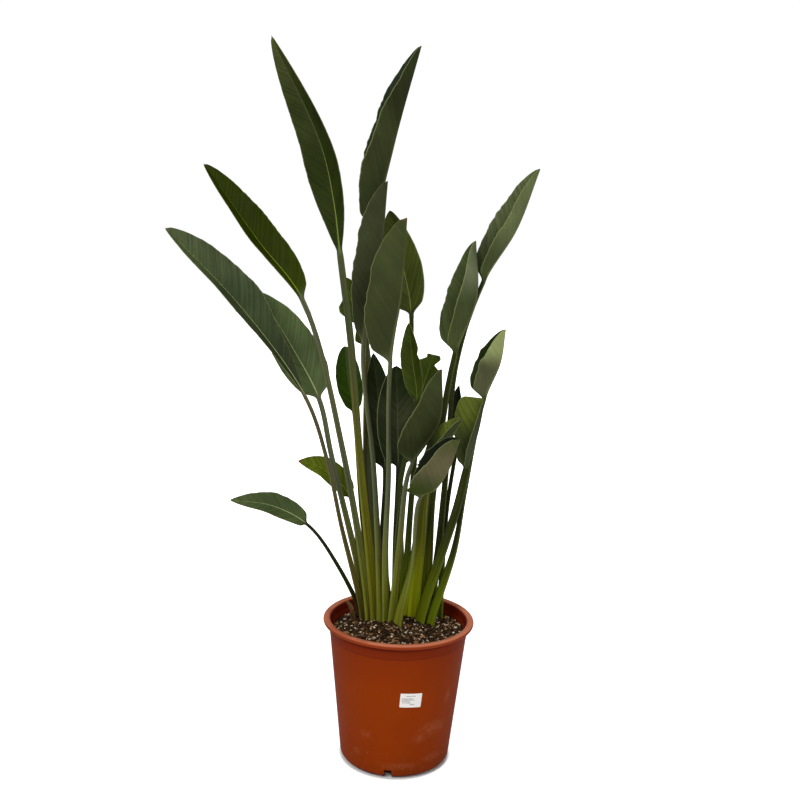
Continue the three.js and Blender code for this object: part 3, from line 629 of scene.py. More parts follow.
def bladeGroup(veins):
    # colour and gloss of a blade: darker waxy face above, chalky face below, pale rib, dry tip
    tree, given, result = newGroup("ShaderNodeTree", "bladeTissue", {
        colourIn: ["Upper", "Under", "Rib", "Margin", "Dry", "Blush Tone"],
        floatIn: ["Vein Contrast", "Dry Tip", "Seed", "Under Blush", "Upper Blush", "Blush Start",
                  "Blush End"],
    }, {colourIn: ["Color"], floatIn: ["Roughness", "Height"]})
    t = tissueShape
    vein = useGroup(tree, veins, {"Seed": given["Seed"]})
    across, _, share = axes(attribute(tree, "leafMap", "Vector"))
    upper = attribute(tree, "upper")
    mottle = noiseAt(objectSpot(tree), t["mottleScale"], 4.0)
    patch = noiseAt(objectSpot(tree), t["patchScale"])

    # part of the blade's length may have a second tone: brownish on some leaves,
    # a painted highlight on the moss and silver looks
    tintAndHighlight = ramp(share, given["Blush Start"], given["Blush Start"] + t["tintAndHighlightFadeIn"])
    tintAndHighlight = tintAndHighlight * ramp(share, given["Blush End"] + t["tintAndHighlightFadeOut"], given["Blush End"])
    tintAndHighlight = tintAndHighlight * mixFloat(upper, given["Under Blush"], given["Upper Blush"])
    face = mixColour(tintAndHighlight, mixColour(upper, given["Under"], given["Upper"]), given["Blush Tone"])

    contrast = given["Vein Contrast"] * mixFloat(upper, t["underContrast"], 1.0)
    tone = (vein["Broad"] - 0.5) * contrast + 1.0
    tone = (vein["Fine"] - 0.5) * (contrast * t["fineContrast"]) + tone
    tone = tone * ramp(mottle, 0.25, 0.75, *t["mottleTone"]) * ramp(patch, 0.3, 0.7, *t["patchTone"])
    face = vectorCalc("SCALE", face, tone)
    ribEdge = mixFloat(upper, 1.0, t["ribAbove"])
    ribMask = ramp(abs(across) / attribute(tree, "ribWidth"), ribEdge, ribEdge * t["ribBlend"])
    face = mixColour(ribMask * mixFloat(upper, t["ribUnder"], 1.0), face, given["Rib"])
    # painted edge highlight along the blade's margin
    edgeHighlightMask = ramp(attribute(tree, "reach"), *t["margin"]) * t["edgeHighlightStrength"]
    face = mixColour(edgeHighlightMask, face, given["Margin"])
    dryEdge = 1.0 - given["Dry Tip"] * t["dryLength"]
    dryMask = ramp((mottle - 0.5) * t["dryRagged"] + share, dryEdge, dryEdge + t["dryBlend"])
    dryMask = dryMask * (given["Dry Tip"] > 0.001)
    feed(result["Color"], mixColour(dryMask, face, given["Dry"]))
    rough = mixFloat(upper, t["roughUnder"], t["roughUpper"]) + ramp(mottle, 0.3, 0.7, *t["roughMottle"])
    feed(result["Roughness"], mixFloat(dryMask, rough, t["roughDry"]))
    feed(result["Height"], vein["Height"] * t["veinHeight"] + mottle * t["mottleHeight"])
    return tree


def stalkGroup():
    # lengthwise streaks: grey green above, yellow green and red brown towards the soil
    tree, given, result = newGroup("ShaderNodeTree", "stalkStreaks", {
        colourIn: ["Neck", "Foot", "Streak", "Margin"], floatIn: ["Streaks", "Foot Height", "Seed"],
    }, {colourIn: ["Color"], floatIn: ["Height"]})
    s = streakShape
    _, along, _ = axes(attribute(tree, "leafMap", "Vector"))
    sideways = attribute(tree, "stalkMap")
    otherSide = attribute(tree, "upper") * 3.0 + given["Seed"]  # the two faces have streaks of their own
    wide = noiseAt(joined(sideways * s["wide"][0], along * s["wide"][1], otherSide), 1.0)
    fine = noiseAt(joined(sideways * s["fine"][0], along * s["fine"][1], given["Seed"]), 1.0)
    low = ramp(along, given["Foot Height"] + s["footBlend"], given["Foot Height"] * s["footFull"])
    low = calc("ADD", low, (wide - 0.5) * s["footRagged"], clamp=True)
    colour = mixColour(low, given["Neck"], given["Foot"])
    strength = (low * (1 - s["neckShare"]) + s["neckShare"]) * given["Streaks"]
    colour = mixColour(ramp(wide, *s["mask"]) * strength, colour, given["Streak"])
    colour = vectorCalc("SCALE", colour, ramp(fine, 0.3, 0.7, *s["fineTone"]))
    # painted edge highlight along the stalk's edges
    edgeHighlightMask = ramp(attribute(tree, "reach"), *s["margin"]) * s["edgeHighlightStrength"]
    feed(result["Color"], mixColour(edgeHighlightMask, colour, given["Margin"]))
    feed(result["Height"], fine)
    return tree


# what every leaf's skin has unless its look says otherwise
plantSkin = {
    # the pale colour along the margins of blades and stalks is a painted edge highlight
    "Margin": (0.20, 0.22, 0.09), "Dry": (0.160, 0.085, 0.032), "Vein Contrast": 0.4,
    "Blush Tone": (0, 0, 0), "Under Blush": 0.0, "Upper Blush": 0.0, "Blush Start": 0.0, "Blush End": 1.0,
}
plantSurface = {"stalkRoughness": 0.5, "bump": (0.24, 0.0006)}  # how strong the bump is, and its depth
# colours of a blade's upper face, its under face and its rib; each leaf names one of these looks. Some
# have a second tone, brownish on some and a painted highlight on moss and silver: its tone, how
# strong it is on the under and on the upper face, and from where to where it reaches as shares of the
# blade's length
bladeColumns = ("Upper", "Under", "Rib", "Blush Tone", "Under Blush", "Upper Blush", "Blush Start",
                "Blush End")
bladeLooks = {
    "deep": [(0.021, 0.030, 0.005), (0.042, 0.054, 0.020), (0.18, 0.22, 0.045),
             (0.050, 0.060, 0.014), 0.0, 0.8, 0.6, 1.0],
    "olive": [(0.030, 0.043, 0.0005), (0.040, 0.050, 0.012), (0.20, 0.25, 0.03)],
    "silver": [(0.031, 0.043, 0.016), (0.050, 0.064, 0.028), (0.34, 0.38, 0.16),
               (0.078, 0.104, 0.036), 0.0, 0.8, 0.56, 0.9],
    "bright": [(0.082, 0.114, 0.040), (0.062, 0.084, 0.034), (0.36, 0.42, 0.18)],
    "fresh": [(0.066, 0.094, 0.030), (0.070, 0.090, 0.032), (0.36, 0.40, 0.18)],
    "forest": [(0.020, 0.044, 0.002), (0.030, 0.045, 0.010), (0.07, 0.10, 0.02)],
    "lime": [(0.130, 0.170, 0.008), (0.120, 0.150, 0.012), (0.26, 0.28, 0.05)],
    "young": [(0.044, 0.066, 0.006), (0.056, 0.076, 0.012), (0.15, 0.18, 0.03)],
    # the nearly black upper faces of slate, moor and tan are painted shade, darker than the leaf's own deep
    # green
    "slate": [(0.013, 0.022, 0.005), (0.034, 0.041, 0.012), (0.09, 0.10, 0.04)],
    "moor": [(0.013, 0.022, 0.005), (0.034, 0.039, 0.015), (0.09, 0.10, 0.04)],
    "shade": [(0.014, 0.021, 0.006), (0.026, 0.034, 0.011), (0.08, 0.09, 0.04),
              (0.050, 0.056, 0.024), 0.6, 0.6, 0.08, 0.5],
    "meadow": [(0.078, 0.098, 0.016), (0.060, 0.076, 0.018), (0.20, 0.24, 0.05)],
    "moss": [(0.068, 0.092, 0.026), (0.072, 0.092, 0.028), (0.16, 0.18, 0.06),
             (0.200, 0.235, 0.120), 0.9, 0.0, 0.42, 1.0],
    "mint": [(0.058, 0.077, 0.024), (0.080, 0.104, 0.030), (0.20, 0.22, 0.08),
             (0.138, 0.164, 0.066), 0.9, 0.7, 0.15, 0.85],
    "pale": [(0.020, 0.034, 0.006), (0.105, 0.110, 0.048), (0.18, 0.19, 0.09),
             (0.340, 0.385, 0.150), 0.95, 0.0, 0.36, 1.0],
    "tan": [(0.007, 0.012, 0.003), (0.052, 0.070, 0.014), (0.13, 0.15, 0.05),
            (0.135, 0.120, 0.055), 0.9, 0.0, 0.3, 0.75],
    "spring": [(0.056, 0.074, 0.018), (0.040, 0.056, 0.014), (0.20, 0.22, 0.06),
               (0.110, 0.135, 0.016), 0.0, 0.95, 0.35, 1.0],
    "dry": [(0.110, 0.066, 0.012), (0.110, 0.062, 0.014), (0.12, 0.09, 0.02)],
}
# colours of a stalk at the blade, at the soil and of its streaks, and how far up the soil end's colour
# reaches in metres
stalkColumns = ("Neck", "Foot", "Streak", "Foot Height")
stalkLooks = {
    "sage": [(0.092, 0.104, 0.052), (0.205, 0.228, 0.018), (0.130, 0.072, 0.012), 0.2],
    "straw": [(0.060, 0.074, 0.028), (0.205, 0.215, 0.008), (0.150, 0.066, 0.008), 0.46],
    "lime": [(0.060, 0.070, 0.005), (0.310, 0.385, 0.005), (0.190, 0.125, 0.006), 0.1],
    "brown": [(0.105, 0.092, 0.046), (0.110, 0.095, 0.012), (0.110, 0.052, 0.012), 0.22],
    "olive": [(0.050, 0.058, 0.020), (0.150, 0.150, 0.006), (0.150, 0.066, 0.006), 0.26],
    "rush": [(0.060, 0.076, 0.030), (0.230, 0.250, 0.008), (0.190, 0.110, 0.006), 0.14],
    "leafy": [(0.032, 0.042, 0.008), (0.145, 0.190, 0.004), (0.150, 0.140, 0.005), 0.1],
    # dark is painted shade, for stalks that stand in shadow between the others
    "dark": [(0.014, 0.018, 0.008), (0.028, 0.036, 0.006), (0.034, 0.026, 0.008), 0.2],
    "dry": [(0.150, 0.080, 0.030), (0.120, 0.070, 0.025), (0.080, 0.036, 0.012), 0.2],
}


def makeLeafSkin(name, leaf, bladeTissue, stalkStreaks, seed):
    material, tree, shader = newMaterial(name + "Skin", {"Specular IOR Level": leaf["sheen"]})
    bladeTones = dict(zip(bladeColumns, bladeLooks[leaf["look"]]))
    blade = useGroup(tree, bladeTissue, {
        **plantSkin, **bladeTones, "Dry Tip": leaf["dryTip"], "Seed": seed})
    stalkTones = dict(zip(stalkColumns, stalkLooks[leaf["stalkLook"]]))
    stalk = useGroup(tree, stalkStreaks, {
        **stalkTones, "Margin": plantSkin["Margin"], "Streaks": leaf["streaks"], "Seed": seed})
    onBlade = attribute(tree, "onBlade")
    dress(shader, mixColour(onBlade, stalk["Color"], blade["Color"]),
          mixFloat(onBlade, plantSurface["stalkRoughness"], blade["Roughness"]),
          mixFloat(onBlade, stalk["Height"], blade["Height"]), *plantSurface["bump"])
    return material


def makeLeaves():
    sweep = leafTree()
    bladeTissue = bladeGroup(veinGroup())
    stalkStreaks = stalkGroup()
    shape = bladeShape
    for number, (name, leaf) in enumerate(leaves.items()):
        piece = middleLine(name + "Fine", leaf)
        fold, curl = ([math.radians(angle) for angle in leaf[key]] for key in ("fold", "curl"))
        height, waves, start = leaf["wave"]
        runNodes(piece, sweep, {
            "Columns": shape["columns"] if leaf["half"] > shape["smallHalf"] else shape["smallColumns"],
            "Fold Left": fold[0], "Fold Right": fold[1], "Curl Left": curl[0], "Curl Right": curl[1],
            "Wave Height": height * mm, "Waves": float(waves), "Wave Start": float(start),
            "Thickness": shape["thickness"] * mm, "Relief": shape["relief"] * mm,
            "Vein Spacing": shape["veinSpacing"] * mm, "Vein Slant": veinShape["slant"],
            "Edge Crinkle": shape["edgeCrinkle"] * mm, "Seed": 3.1 * number,
            "Leaf Skin": makeLeafSkin(name, leaf, bladeTissue, stalkStreaks, 1.7 * number),
        })
        finishPiece(piece, "sheath" if name == "sheath" else "leaf", name)
    print("leaves:", len(leaves), "pieces")


makeLeaves()

# The nursery pot: a turned shell with a rolled lip, a bead, a step, drain notches and floor holes
potShape = {
    "rimRadius": 140, "height": 268.5, "lipDrop": 9.5, "neckRadius": 128, "footRadius": 103,
    "cornerRadius": 14, "wall": 2.2, "floorTop": 5.5, "padRadius": 30, "recess": 3, "ringWidth": 5,
    "stepBelowLip": 22, "stepSize": 1.1, "beadRadius": 1.1, "beadBelowLip": 3, "rimInside": 5,
    "sides": 240, "wallRows": 24, "drainCount": 4, "drainWidth": 13, "drainHeight": 18, "drainDepth": 40,
    "drainTurn": -96, "holeRadius": 7, "holeRing": 62, "holeSides": 32, "creaseAngle": 35,
}
potFinish = {
    # the inside tone is painted shade, for the pot's inner wall and the crease at the step
    "body": (0.250, 0.031, 0.0002), "lip": (0.250, 0.036, 0.007), "insideShade": (0.080, 0.010, 0.007),
    "band": (0.185, 0.019, 0.002), "scuff": (0.36, 0.125, 0.060), "grime": (0.115, 0.020, 0.002),
    # rim is a painted highlight along the top of the lip
    "rim": (0.60, 0.205, 0.110), "shade": (0.100, 0.005, 0.0005), "roughness": 0.5, "specular": 0.04,
    "grimeRoughness": 0.08, "scuffRoughness": 0.2, "grainHeight": 0.3, "bump": (0.3, 0.0003),
    # scuffed places: millimetres round the front from the middle, height, half width, half height
    "scuffs": [(78, 94, 42, 20), (48, 80, 18, 12), (-58, 82, 14, 11), (-80, 42, 12, 10),
               (10, 26, 46, 9), (84, 34, 26, 10), (104, 150, 10, 20)],
    "scratchSlant": 28, "scratchLength": 75.0, "scratchCount": 430.0, "scratchMask": (0.46, 0.66),
    "scuffBase": 0.15, "scuffFade": (1.15, 0.1),  # how scuffed it is between scratches, and the soft edge
}
# where the pot's tones change: from height to height in metres, and how strong at both if not 0 and 1
potMarks = {
    "band": (0.16, 0.235, 0.0, 0.45), "step": (0.2362, 0.2374), "underLip": (0.2500, 0.2545),
    "creaseFoot": (0.2352, 0.2366), "creaseTop": (0.2382, 0.2368), "rimHighlight": (0.2645, 0.2675),
    "nearFloor": (0.045, 0.0, 0.0, 0.6), "specks": (0.11, 0.02, 0.1, 0.55),
    "lipRadius": 0.1285, "lipBlend": 0.004, "insideBlend": (0.0002, 0.0012),
    "meanRadius": 0.115,  # turns an angle round the pot into metres along its wall
    "midWallSlope": 0.098, "midWallFoot": 0.1005,  # radius of the middle of the wall at any height
}
wearShape = {
    "speckScale": 240.0, "speck": (0.66, 0.74), "grimeScale": 7.0, "grime": (0.35, 0.75),
    "grainScale": 900.0,
}
labelShape = {
    "width": 39, "height": 27, "x": 26, "z": 158, "tilt": 3, "thickness": 0.35, "corner": 1.2,
    "gap": 0.03, "glue": 0.02, "columns": 40, "rows": 28,
    "paper": (0.82, 0.80, 0.76), "stain": (0.55, 0.48, 0.42), "ink": (0.06, 0.06, 0.07),
    # plain bars in place of print: height, left and right end from the label's middle
    "bars": [(8.6, -9, 8), (3.6, -16, 4), (1.2, -16, 6), (-1.2, -16, -2), (-4.4, -16, 0), (-7.6, -2, 6)],
    "barHalf": 0.85, "stained": 0.12, "printed": 0.75, "creaseAngle": 40,
}


def arcPoints(middle, radius, start, stop, steps):
    turns = [math.radians(start + (stop - start) * step / steps) for step in range(steps + 1)]
    return [(middle[0] + radius * math.cos(turn), middle[1] + radius * math.sin(turn)) for turn in turns]


def outerRadius(height):
    p = potShape
    stepHeight = p["height"] - p["lipDrop"] - p["stepBelowLip"]
    slope = (p["neckRadius"] - p["stepSize"] - p["footRadius"]) / (stepHeight - p["cornerRadius"])
    return p["footRadius"] + slope * (height - p["cornerRadius"])


def innerRadius(height):
    p = potShape
    slope = (p["neckRadius"] - p["footRadius"]) / (p["height"] - p["rimInside"] - p["cornerRadius"])
    return p["footRadius"] - p["wall"] + slope * (height - p["cornerRadius"])


def turnedMesh(name, outline, sides):
    # outline runs from the axis below, out and up, and back to the axis inside
    points, rings = [], []
    for radius, height in outline:
        if radius < 1e-6:
            rings.append([len(points)] * sides)
            points.append((0, 0, height * mm))
            continue
        rings.append(list(range(len(points), len(points) + sides)))
        for side in range(sides):
            turn = 2 * math.pi * side / sides
            points.append((radius * mm * math.cos(turn), radius * mm * math.sin(turn), height * mm))
    faces = []
    for low, high in zip(rings[:-1], rings[1:]):
        for side in range(sides):
            after = (side + 1) % sides
            faces.append(list(dict.fromkeys([low[side], low[after], high[after], high[side]])))
    return makeObject(name, points, faces)


def cutAway(piece, cutters):
    for cutter in cutters:
        modifier = piece.modifiers.new("cut", "BOOLEAN")
        modifier.operation = "DIFFERENCE"
        modifier.solver = "EXACT"
        modifier.object = cutter
    makePlain(piece)
    for cutter in cutters:
        bpy.data.objects.remove(cutter)


def blockMesh(name, size, place):
    half = [value / 2 for value in size]
    points = [place @ Vector((sx * half[0], sy * half[1], sz * half[2])) * mm
              for sx in (-1, 1) for sy in (-1, 1) for sz in (-1, 1)]
    faces = [(0, 1, 3, 2), (4, 6, 7, 5), (0, 4, 5, 1), (2, 3, 7, 6), (0, 2, 6, 4), (1, 5, 7, 3)]
    return makeObject(name, points, faces)


def potOutline():
    # from the pad below, round the foot, up the wall, over the lip and down the inside
    p = potShape
    lipBottom = p["height"] - p["lipDrop"]
    stepHeight = lipBottom - p["stepBelowLip"]
    lip = p["lipDrop"] / 2
    neck, pad, corner, recess = p["neckRadius"], p["padRadius"], p["cornerRadius"], p["recess"]
    inner = corner - p["wall"] - 1
    foot = p["footRadius"] - corner
    ring = foot - p["ringWidth"]
    rows = p["wallRows"]
    wallHeights = [corner + (stepHeight - corner) * row / rows for row in range(1, rows)]
    return [
        (0, 0), (pad - 0.4, 0), (pad, 0.15), (pad + 2, recess),
        (ring - 2, recess), (ring, 0.15), (ring + 0.4, 0),
        *arcPoints((foot, corner), corner, -90, 0, 10),
        *[(outerRadius(height), height) for height in wallHeights],
        (outerRadius(stepHeight), stepHeight), (outerRadius(stepHeight) + 0.25, stepHeight + 0.25),
        (neck - 0.7, stepHeight + 0.9), (neck - 0.6, stepHeight + 1.2), (neck - 0.3, lipBottom - 5.4),
        *arcPoints((neck - 0.2, lipBottom - p["beadBelowLip"]), p["beadRadius"], -80, 80, 6),
        (neck, lipBottom - 1.2), (neck + 0.4, lipBottom + 0.4),
        *arcPoints((p["rimRadius"] - lip, p["height"] - lip), lip, -75, 115, 16),
        (neck + 1.6, p["height"] - 0.9), (neck + 0.6, p["height"] - 1.5),
        *[(innerRadius(height), height) for height in
          (p["height"] - p["rimInside"], *reversed(wallHeights), corner)],
        *arcPoints((p["footRadius"] - p["wall"] - inner, p["floorTop"] + inner), inner, -15, -90, 6),
        (0, p["floorTop"]),
    ]


def makePot():
    p = potShape
    pot = turnedMesh("potShell", potOutline(), p["sides"])
    below, above = -9, 15  # each hole's cutter reaches through the floor
    radius = p["holeRadius"]
    cutters = []
    for number in range(p["drainCount"]):
        turn = math.radians(p["drainTurn"] + 360 / p["drainCount"] * number)
        place = Matrix.Translation((p["footRadius"], 0, p["drainHeight"] / 2 - 0.5))
        cutters.append(blockMesh("notch", (p["drainDepth"], p["drainWidth"], p["drainHeight"]),
                                 Matrix.Rotation(turn, 4, "Z") @ place))
        middle = Matrix.Rotation(turn + math.pi / p["drainCount"], 4, "Z") @ Vector((p["holeRing"], 0, 0))
        outline = [(0, below), (radius, below), (radius, above), (0, above)]
        hole = turnedMesh("hole", outline, p["holeSides"])
        hole.data.transform(Matrix.Translation(middle * mm))
        cutters.append(hole)
    cutAway(pot, cutters)
    shadeByAngle(pot, p["creaseAngle"])
    pot.data.materials.clear()
    pot.data.materials.append(makePotFinish())
    finishPiece(pot, "pot", "pot")
    print("pot:", len(pot.data.polygons), "faces")


def wearGroup():
    # soft grime, small specks and fine grain; masks only
    tree, given, result = newGroup("ShaderNodeTree", "wearAndGrime", {floatIn: ["Speck Scale"]}, {
        floatIn: ["Speck", "Grime", "Grain"]})
    w = wearShape
    spot = objectSpot(tree)
    feed(result["Speck"], ramp(noiseAt(spot, given["Speck Scale"]), *w["speck"]))
    feed(result["Grime"], ramp(noiseAt(spot, w["grimeScale"], 4.0, Roughness=0.6), *w["grime"]))
    feed(result["Grain"], noiseAt(spot, w["grainScale"]))
    return tree


def scuffMask(arc, z):
    # slanting pale scratches that fade out round each scuffed place
    tones = potFinish
    slant = math.radians(tones["scratchSlant"])
    lengthwise = arc * math.cos(slant) + z * math.sin(slant)
    crosswise = z * math.cos(slant) - arc * math.sin(slant)
    place = joined(lengthwise * tones["scratchLength"], crosswise * tones["scratchCount"])
    scratch = noiseAt(place, 1.0, 4.0, Roughness=0.7, Distortion=0.4)
    worn = None
    for middle, height, halfWidth, halfHeight in tones["scuffs"]:
        across = (arc - middle * mm) / (halfWidth * mm)
        up = (z - height * mm) / (halfHeight * mm)
        here = ramp(calc("SQRT", across * across + up * up), *tones["scuffFade"])
        worn = here if worn is None else calc("MAXIMUM", worn, here)
    scratch = ramp(scratch, *tones["scratchMask"]) * (1 - tones["scuffBase"])
    return (scratch + tones["scuffBase"]) * worn


wearAndGrime = wearGroup()


def makePotFinish():
    tones = potFinish
    material, tree, shader = newMaterial("terracottaPlastic", {"Specular IOR Level": tones["specular"]})
    wear = useGroup(tree, wearAndGrime, {"Speck Scale": wearShape["speckScale"]})
    marks = potMarks
    x, y, z = axes(objectSpot(tree))
    radius = calc("SQRT", x * x + y * y)
    arc = calc("ARCTAN2", x, y * -1.0) * marks["meanRadius"]
    midWall = z * marks["midWallSlope"] + marks["midWallFoot"]
    onLip = ramp(radius - marks["lipRadius"], 0.0, marks["lipBlend"])
    scuff = scuffMask(arc, z)
    # each layer lies over the ones before it: where it shows, how strong it is, and its tone
    layers = [
        (wear["Grime"], 0.22, "grime"),
        (ramp(z, *marks["band"]), 1.0, "band"),
        (ramp(z, *marks["step"]), 1.0, "band"),
        (onLip, 1.0, "lip"),
        (ramp(z, *marks["underLip"]) * (1.0 - onLip), 0.85, "shade"),
        # painted highlight along the top of the lip, weaker where the grime pattern is strong
        (ramp(z, *marks["rimHighlight"]) * ramp(wear["Grime"], 0.9, 0.2, 0.45, 1.0), 0.8, "rim"),
        # painted shade in the crease at the step
        (ramp(z, *marks["creaseFoot"]) * ramp(z, *marks["creaseTop"]), 0.5, "insideShade"),
        # darker towards the bottom of the pot, following the grime pattern
        (ramp(z, *marks["nearFloor"]) * wear["Grime"], 1.0, "grime"),
        (scuff, 0.55, "scuff"),
        (wear["Speck"] * ramp(z, *marks["specks"]), 1.0, "scuff"),
        # painted shade over the inner wall
        (ramp(midWall - radius, *marks["insideBlend"]), 1.0, "insideShade"),
    ]
    colour = tones["body"]
    for mask, strength, tone in layers:
        colour = mixColour(mask * strength, colour, tones[tone])
    rough = wear["Grime"] * tones["grimeRoughness"] + (scuff * tones["scuffRoughness"] + tones["roughness"])
    dress(shader, colour, rough, wear["Grain"] * tones["grainHeight"] - scuff, *tones["bump"])
    return material


def labelCorner(u, v):
    # pulls the corners of the label's grid in to a small radius
    corner = labelShape["corner"]
    edgeU, edgeV = labelShape["width"] / 2 - corner, labelShape["height"] / 2 - corner
    overU, overV = max(0.0, abs(u) - edgeU), max(0.0, abs(v) - edgeV)
    reach = math.hypot(overU, overV)
    if reach <= corner or overU == 0 or overV == 0:
        return u, v
    shrink = corner / reach
    return math.copysign(edgeU + overU * shrink, u), math.copysign(edgeV + overV * shrink, v)


def makeLabel():
    # a paper sticker bent round the wall, with a few plain grey bars in place of print
    shape = labelShape
    across, up = shape["columns"], shape["rows"]
    middle = math.asin(shape["x"] / outerRadius(shape["z"]))
    tilt = math.radians(shape["tilt"])
    points, faces = [], []
    for lift in (shape["glue"], shape["thickness"]):
        for row in range(up + 1):
            for column in range(across + 1):
                u, v = shape["width"] * (column / across - 0.5), shape["height"] * (row / up - 0.5)
                u, v = labelCorner(u, v)
                along = u * math.cos(tilt) + v * math.sin(tilt)
                height = shape["z"] - u * math.sin(tilt) + v * math.cos(tilt)
                radius = outerRadius(height) + lift + shape["gap"]
                angle = middle + along / outerRadius(shape["z"])
                points.append((radius * math.sin(angle) * mm, -radius * math.cos(angle) * mm, height * mm))
    wide = across + 1
    layer = wide * (up + 1)
    for row in range(up):
        for column in range(across):
            a = row * wide + column
            faces.append((layer + a, layer + a + 1, layer + a + wide + 1, layer + a + wide))
            faces.append((a, a + wide, a + wide + 1, a + 1))
    rim = [row * wide for row in range(up, 0, -1)] + list(range(across))
    rim += [row * wide + across for row in range(up)]
    rim += [up * wide + column for column in range(across, 0, -1)]
    for a, b in zip(rim, rim[1:] + rim[:1]):
        faces.append((a, b, layer + b, layer + a))
    label = makeObject("stickerPaper", points, faces)
    shadeByAngle(label, shape["creaseAngle"])
    label.data.materials.append(makeLabelFinish(tilt))
    finishPiece(label, "label", "pot_label")
    print("label:", len(label.data.polygons), "faces")


def makeLabelFinish(tilt):
    shape = labelShape
    material, tree, shader = newMaterial("stickerPaper", {"Roughness": 0.5})
    wear = useGroup(tree, wearAndGrime, {"Speck Scale": wearShape["speckScale"]})
    x, _, z = axes(objectSpot(tree))
    u = x - shape["x"] * mm
    v = z - shape["z"] * mm + u * math.sin(tilt)
    bars = None
    for top, left, right in shape["bars"]:
        inRow = abs(v - top * mm) < shape["barHalf"] * mm
        inLength = abs(u - (left + right) / 2 * mm) < (right - left) / 2 * mm
        bar = inRow * inLength
        bars = bar if bars is None else calc("MAXIMUM", bars, bar)
    colour = mixColour(wear["Grime"] * shape["stained"], shape["paper"], shape["stain"])
    printed = bars * ramp(wear["Grain"], 0.35, 0.55) * shape["printed"]
    dress(shader, mixColour(printed, colour, shape["ink"]))
    return material


makePot()
makeLabel()

# The potting mix: a lumpy top with crumbs, perlite, bark chips and fine rootlets lying on it
soilShape = {
    "mound": 4, "gap": 0.35, "rings": 74, "sides": 220,
    "floorRadius": 88, "wallHeights": (20, 80, 140, 200),
    "lumps": 3.2, "lumpSize": 17, "fineLumps": 1.8, "stalkHeap": 2.2, "heapReach": 13,
    "clearOfStalk": 7, "clearOfWall": 2,
    "dark": (0.006, 0.003, 0.0015), "light": (0.070, 0.036, 0.014), "sheen": 0.1,
    "grainScale": 420.0, "grainMask": (0.35, 0.7), "lumpScale": 60.0, "lumpTone": (0.3, 0.7, 0.4, 1.0),
    "bump": (0.8, 0.001),
}
# how many a square metre, half length in millimetres, how narrow, flat and uneven, and the two colours
# each kind of bit lies between
scatterings = {
    "crumbs": dict(density=42000, size=(1.0, 3.2), narrow=1.0, flat=0.75, uneven=0.9, detail=1, seed=3,
                   roughness=0.9, low=(0.006, 0.003, 0.0015), high=(0.085, 0.040, 0.017)),
    "barkChips": dict(density=3200, size=(2.6, 7.0), narrow=0.8, flat=0.28, uneven=0.9, detail=2, seed=11,
                      roughness=0.8, low=(0.030, 0.012, 0.005), high=(0.360, 0.185, 0.070)),
    "perlite": dict(density=7500, size=(0.9, 3.3), narrow=0.65, flat=0.6, uneven=1.0, detail=2, seed=23,
                    roughness=0.7, low=(0.30, 0.19, 0.09), high=(0.92, 0.80, 0.58)),
    "fibres": dict(density=3600, size=(4.0, 9.0), narrow=0.13, flat=0.10, uneven=0.35, detail=2, seed=31,
                   roughness=0.8, low=(0.10, 0.05, 0.02), high=(0.52, 0.36, 0.20)),
}
bitShape = {
    "slimmest": 0.55, "tilt": 0.6, "turn": 6.28, "unevenSize": 0.8,
    "grainScale": 700.0, "grainTone": 0.7, "bump": (0.5, 0.0004),
}
soilReach = innerRadius(soilTop) - soilShape["gap"]


def stalkDistance(x, y):
    return min(math.hypot(x - leaf["foot"][0], y - leaf["foot"][1]) for leaf in leaves.values())


def soilHeight(x, y):
    # millimetres; the heap against each stalk hides where it comes out
    s = soilShape
    out = min(1.0, math.hypot(x, y) / soilReach)
    place = Vector((x / s["lumpSize"], y / s["lumpSize"], 0.4))
    height = soilTop + s["mound"] * (1 - out ** 2)
    height += s["lumps"] * noise.fractal(place, 1.0, 2.0, 3) * (1 - out ** 8)
    height += s["fineLumps"] * noise.fractal(place * 6, 1.0, 2.0, 2)
    return height + s["stalkHeap"] * math.exp(-((stalkDistance(x, y) / s["heapReach"]) ** 2))


def makeSoil():
    s = soilShape
    floor = potShape["floorTop"] + s["gap"]
    outline = [(0, floor), (s["floorRadius"], floor)]
    outline += [(innerRadius(height) - s["gap"], height) for height in s["wallHeights"]]
    outline += [(soilReach * ring / s["rings"], soilTop) for ring in range(s["rings"], -1, -1)]
    soil = turnedMesh("pottingMix", outline, s["sides"])
    for vertex in soil.data.vertices:
        if vertex.co.z > (soilTop - 1) * mm:
            vertex.co.z = soilHeight(vertex.co.x / mm, vertex.co.y / mm) * mm
    soil.data.polygons.foreach_set("use_smooth", [True] * len(soil.data.polygons))
    # bits lie only on the open top, not inside a stalk
    openSoil = soil.data.attributes.new("openSoil", "FLOAT", "POINT")
    for index, vertex in enumerate(soil.data.vertices):
        x, y, z = vertex.co / mm
        onTop = z > soilTop - 4 and math.hypot(x, y) < soilReach - s["clearOfWall"]
        openSoil.data[index].value = float(onTop and stalkDistance(x, y) > s["clearOfStalk"])
    soil.data.materials.append(makeSoilFinish())
    return soil


def makeSoilFinish():
    s = soilShape
    material, tree, shader = newMaterial("wetPeat", {"Roughness": 0.95, "Specular IOR Level": s["sheen"]})
    grain = noiseAt(objectSpot(tree), s["grainScale"], 4.0)
    lump = noiseAt(objectSpot(tree), s["lumpScale"], 3.0)
    tone = ramp(grain, *s["grainMask"]) * ramp(lump, *s["lumpTone"])
    dress(shader, mixColour(tone, s["dark"], s["light"]), None, grain, *s["bump"])
    return material


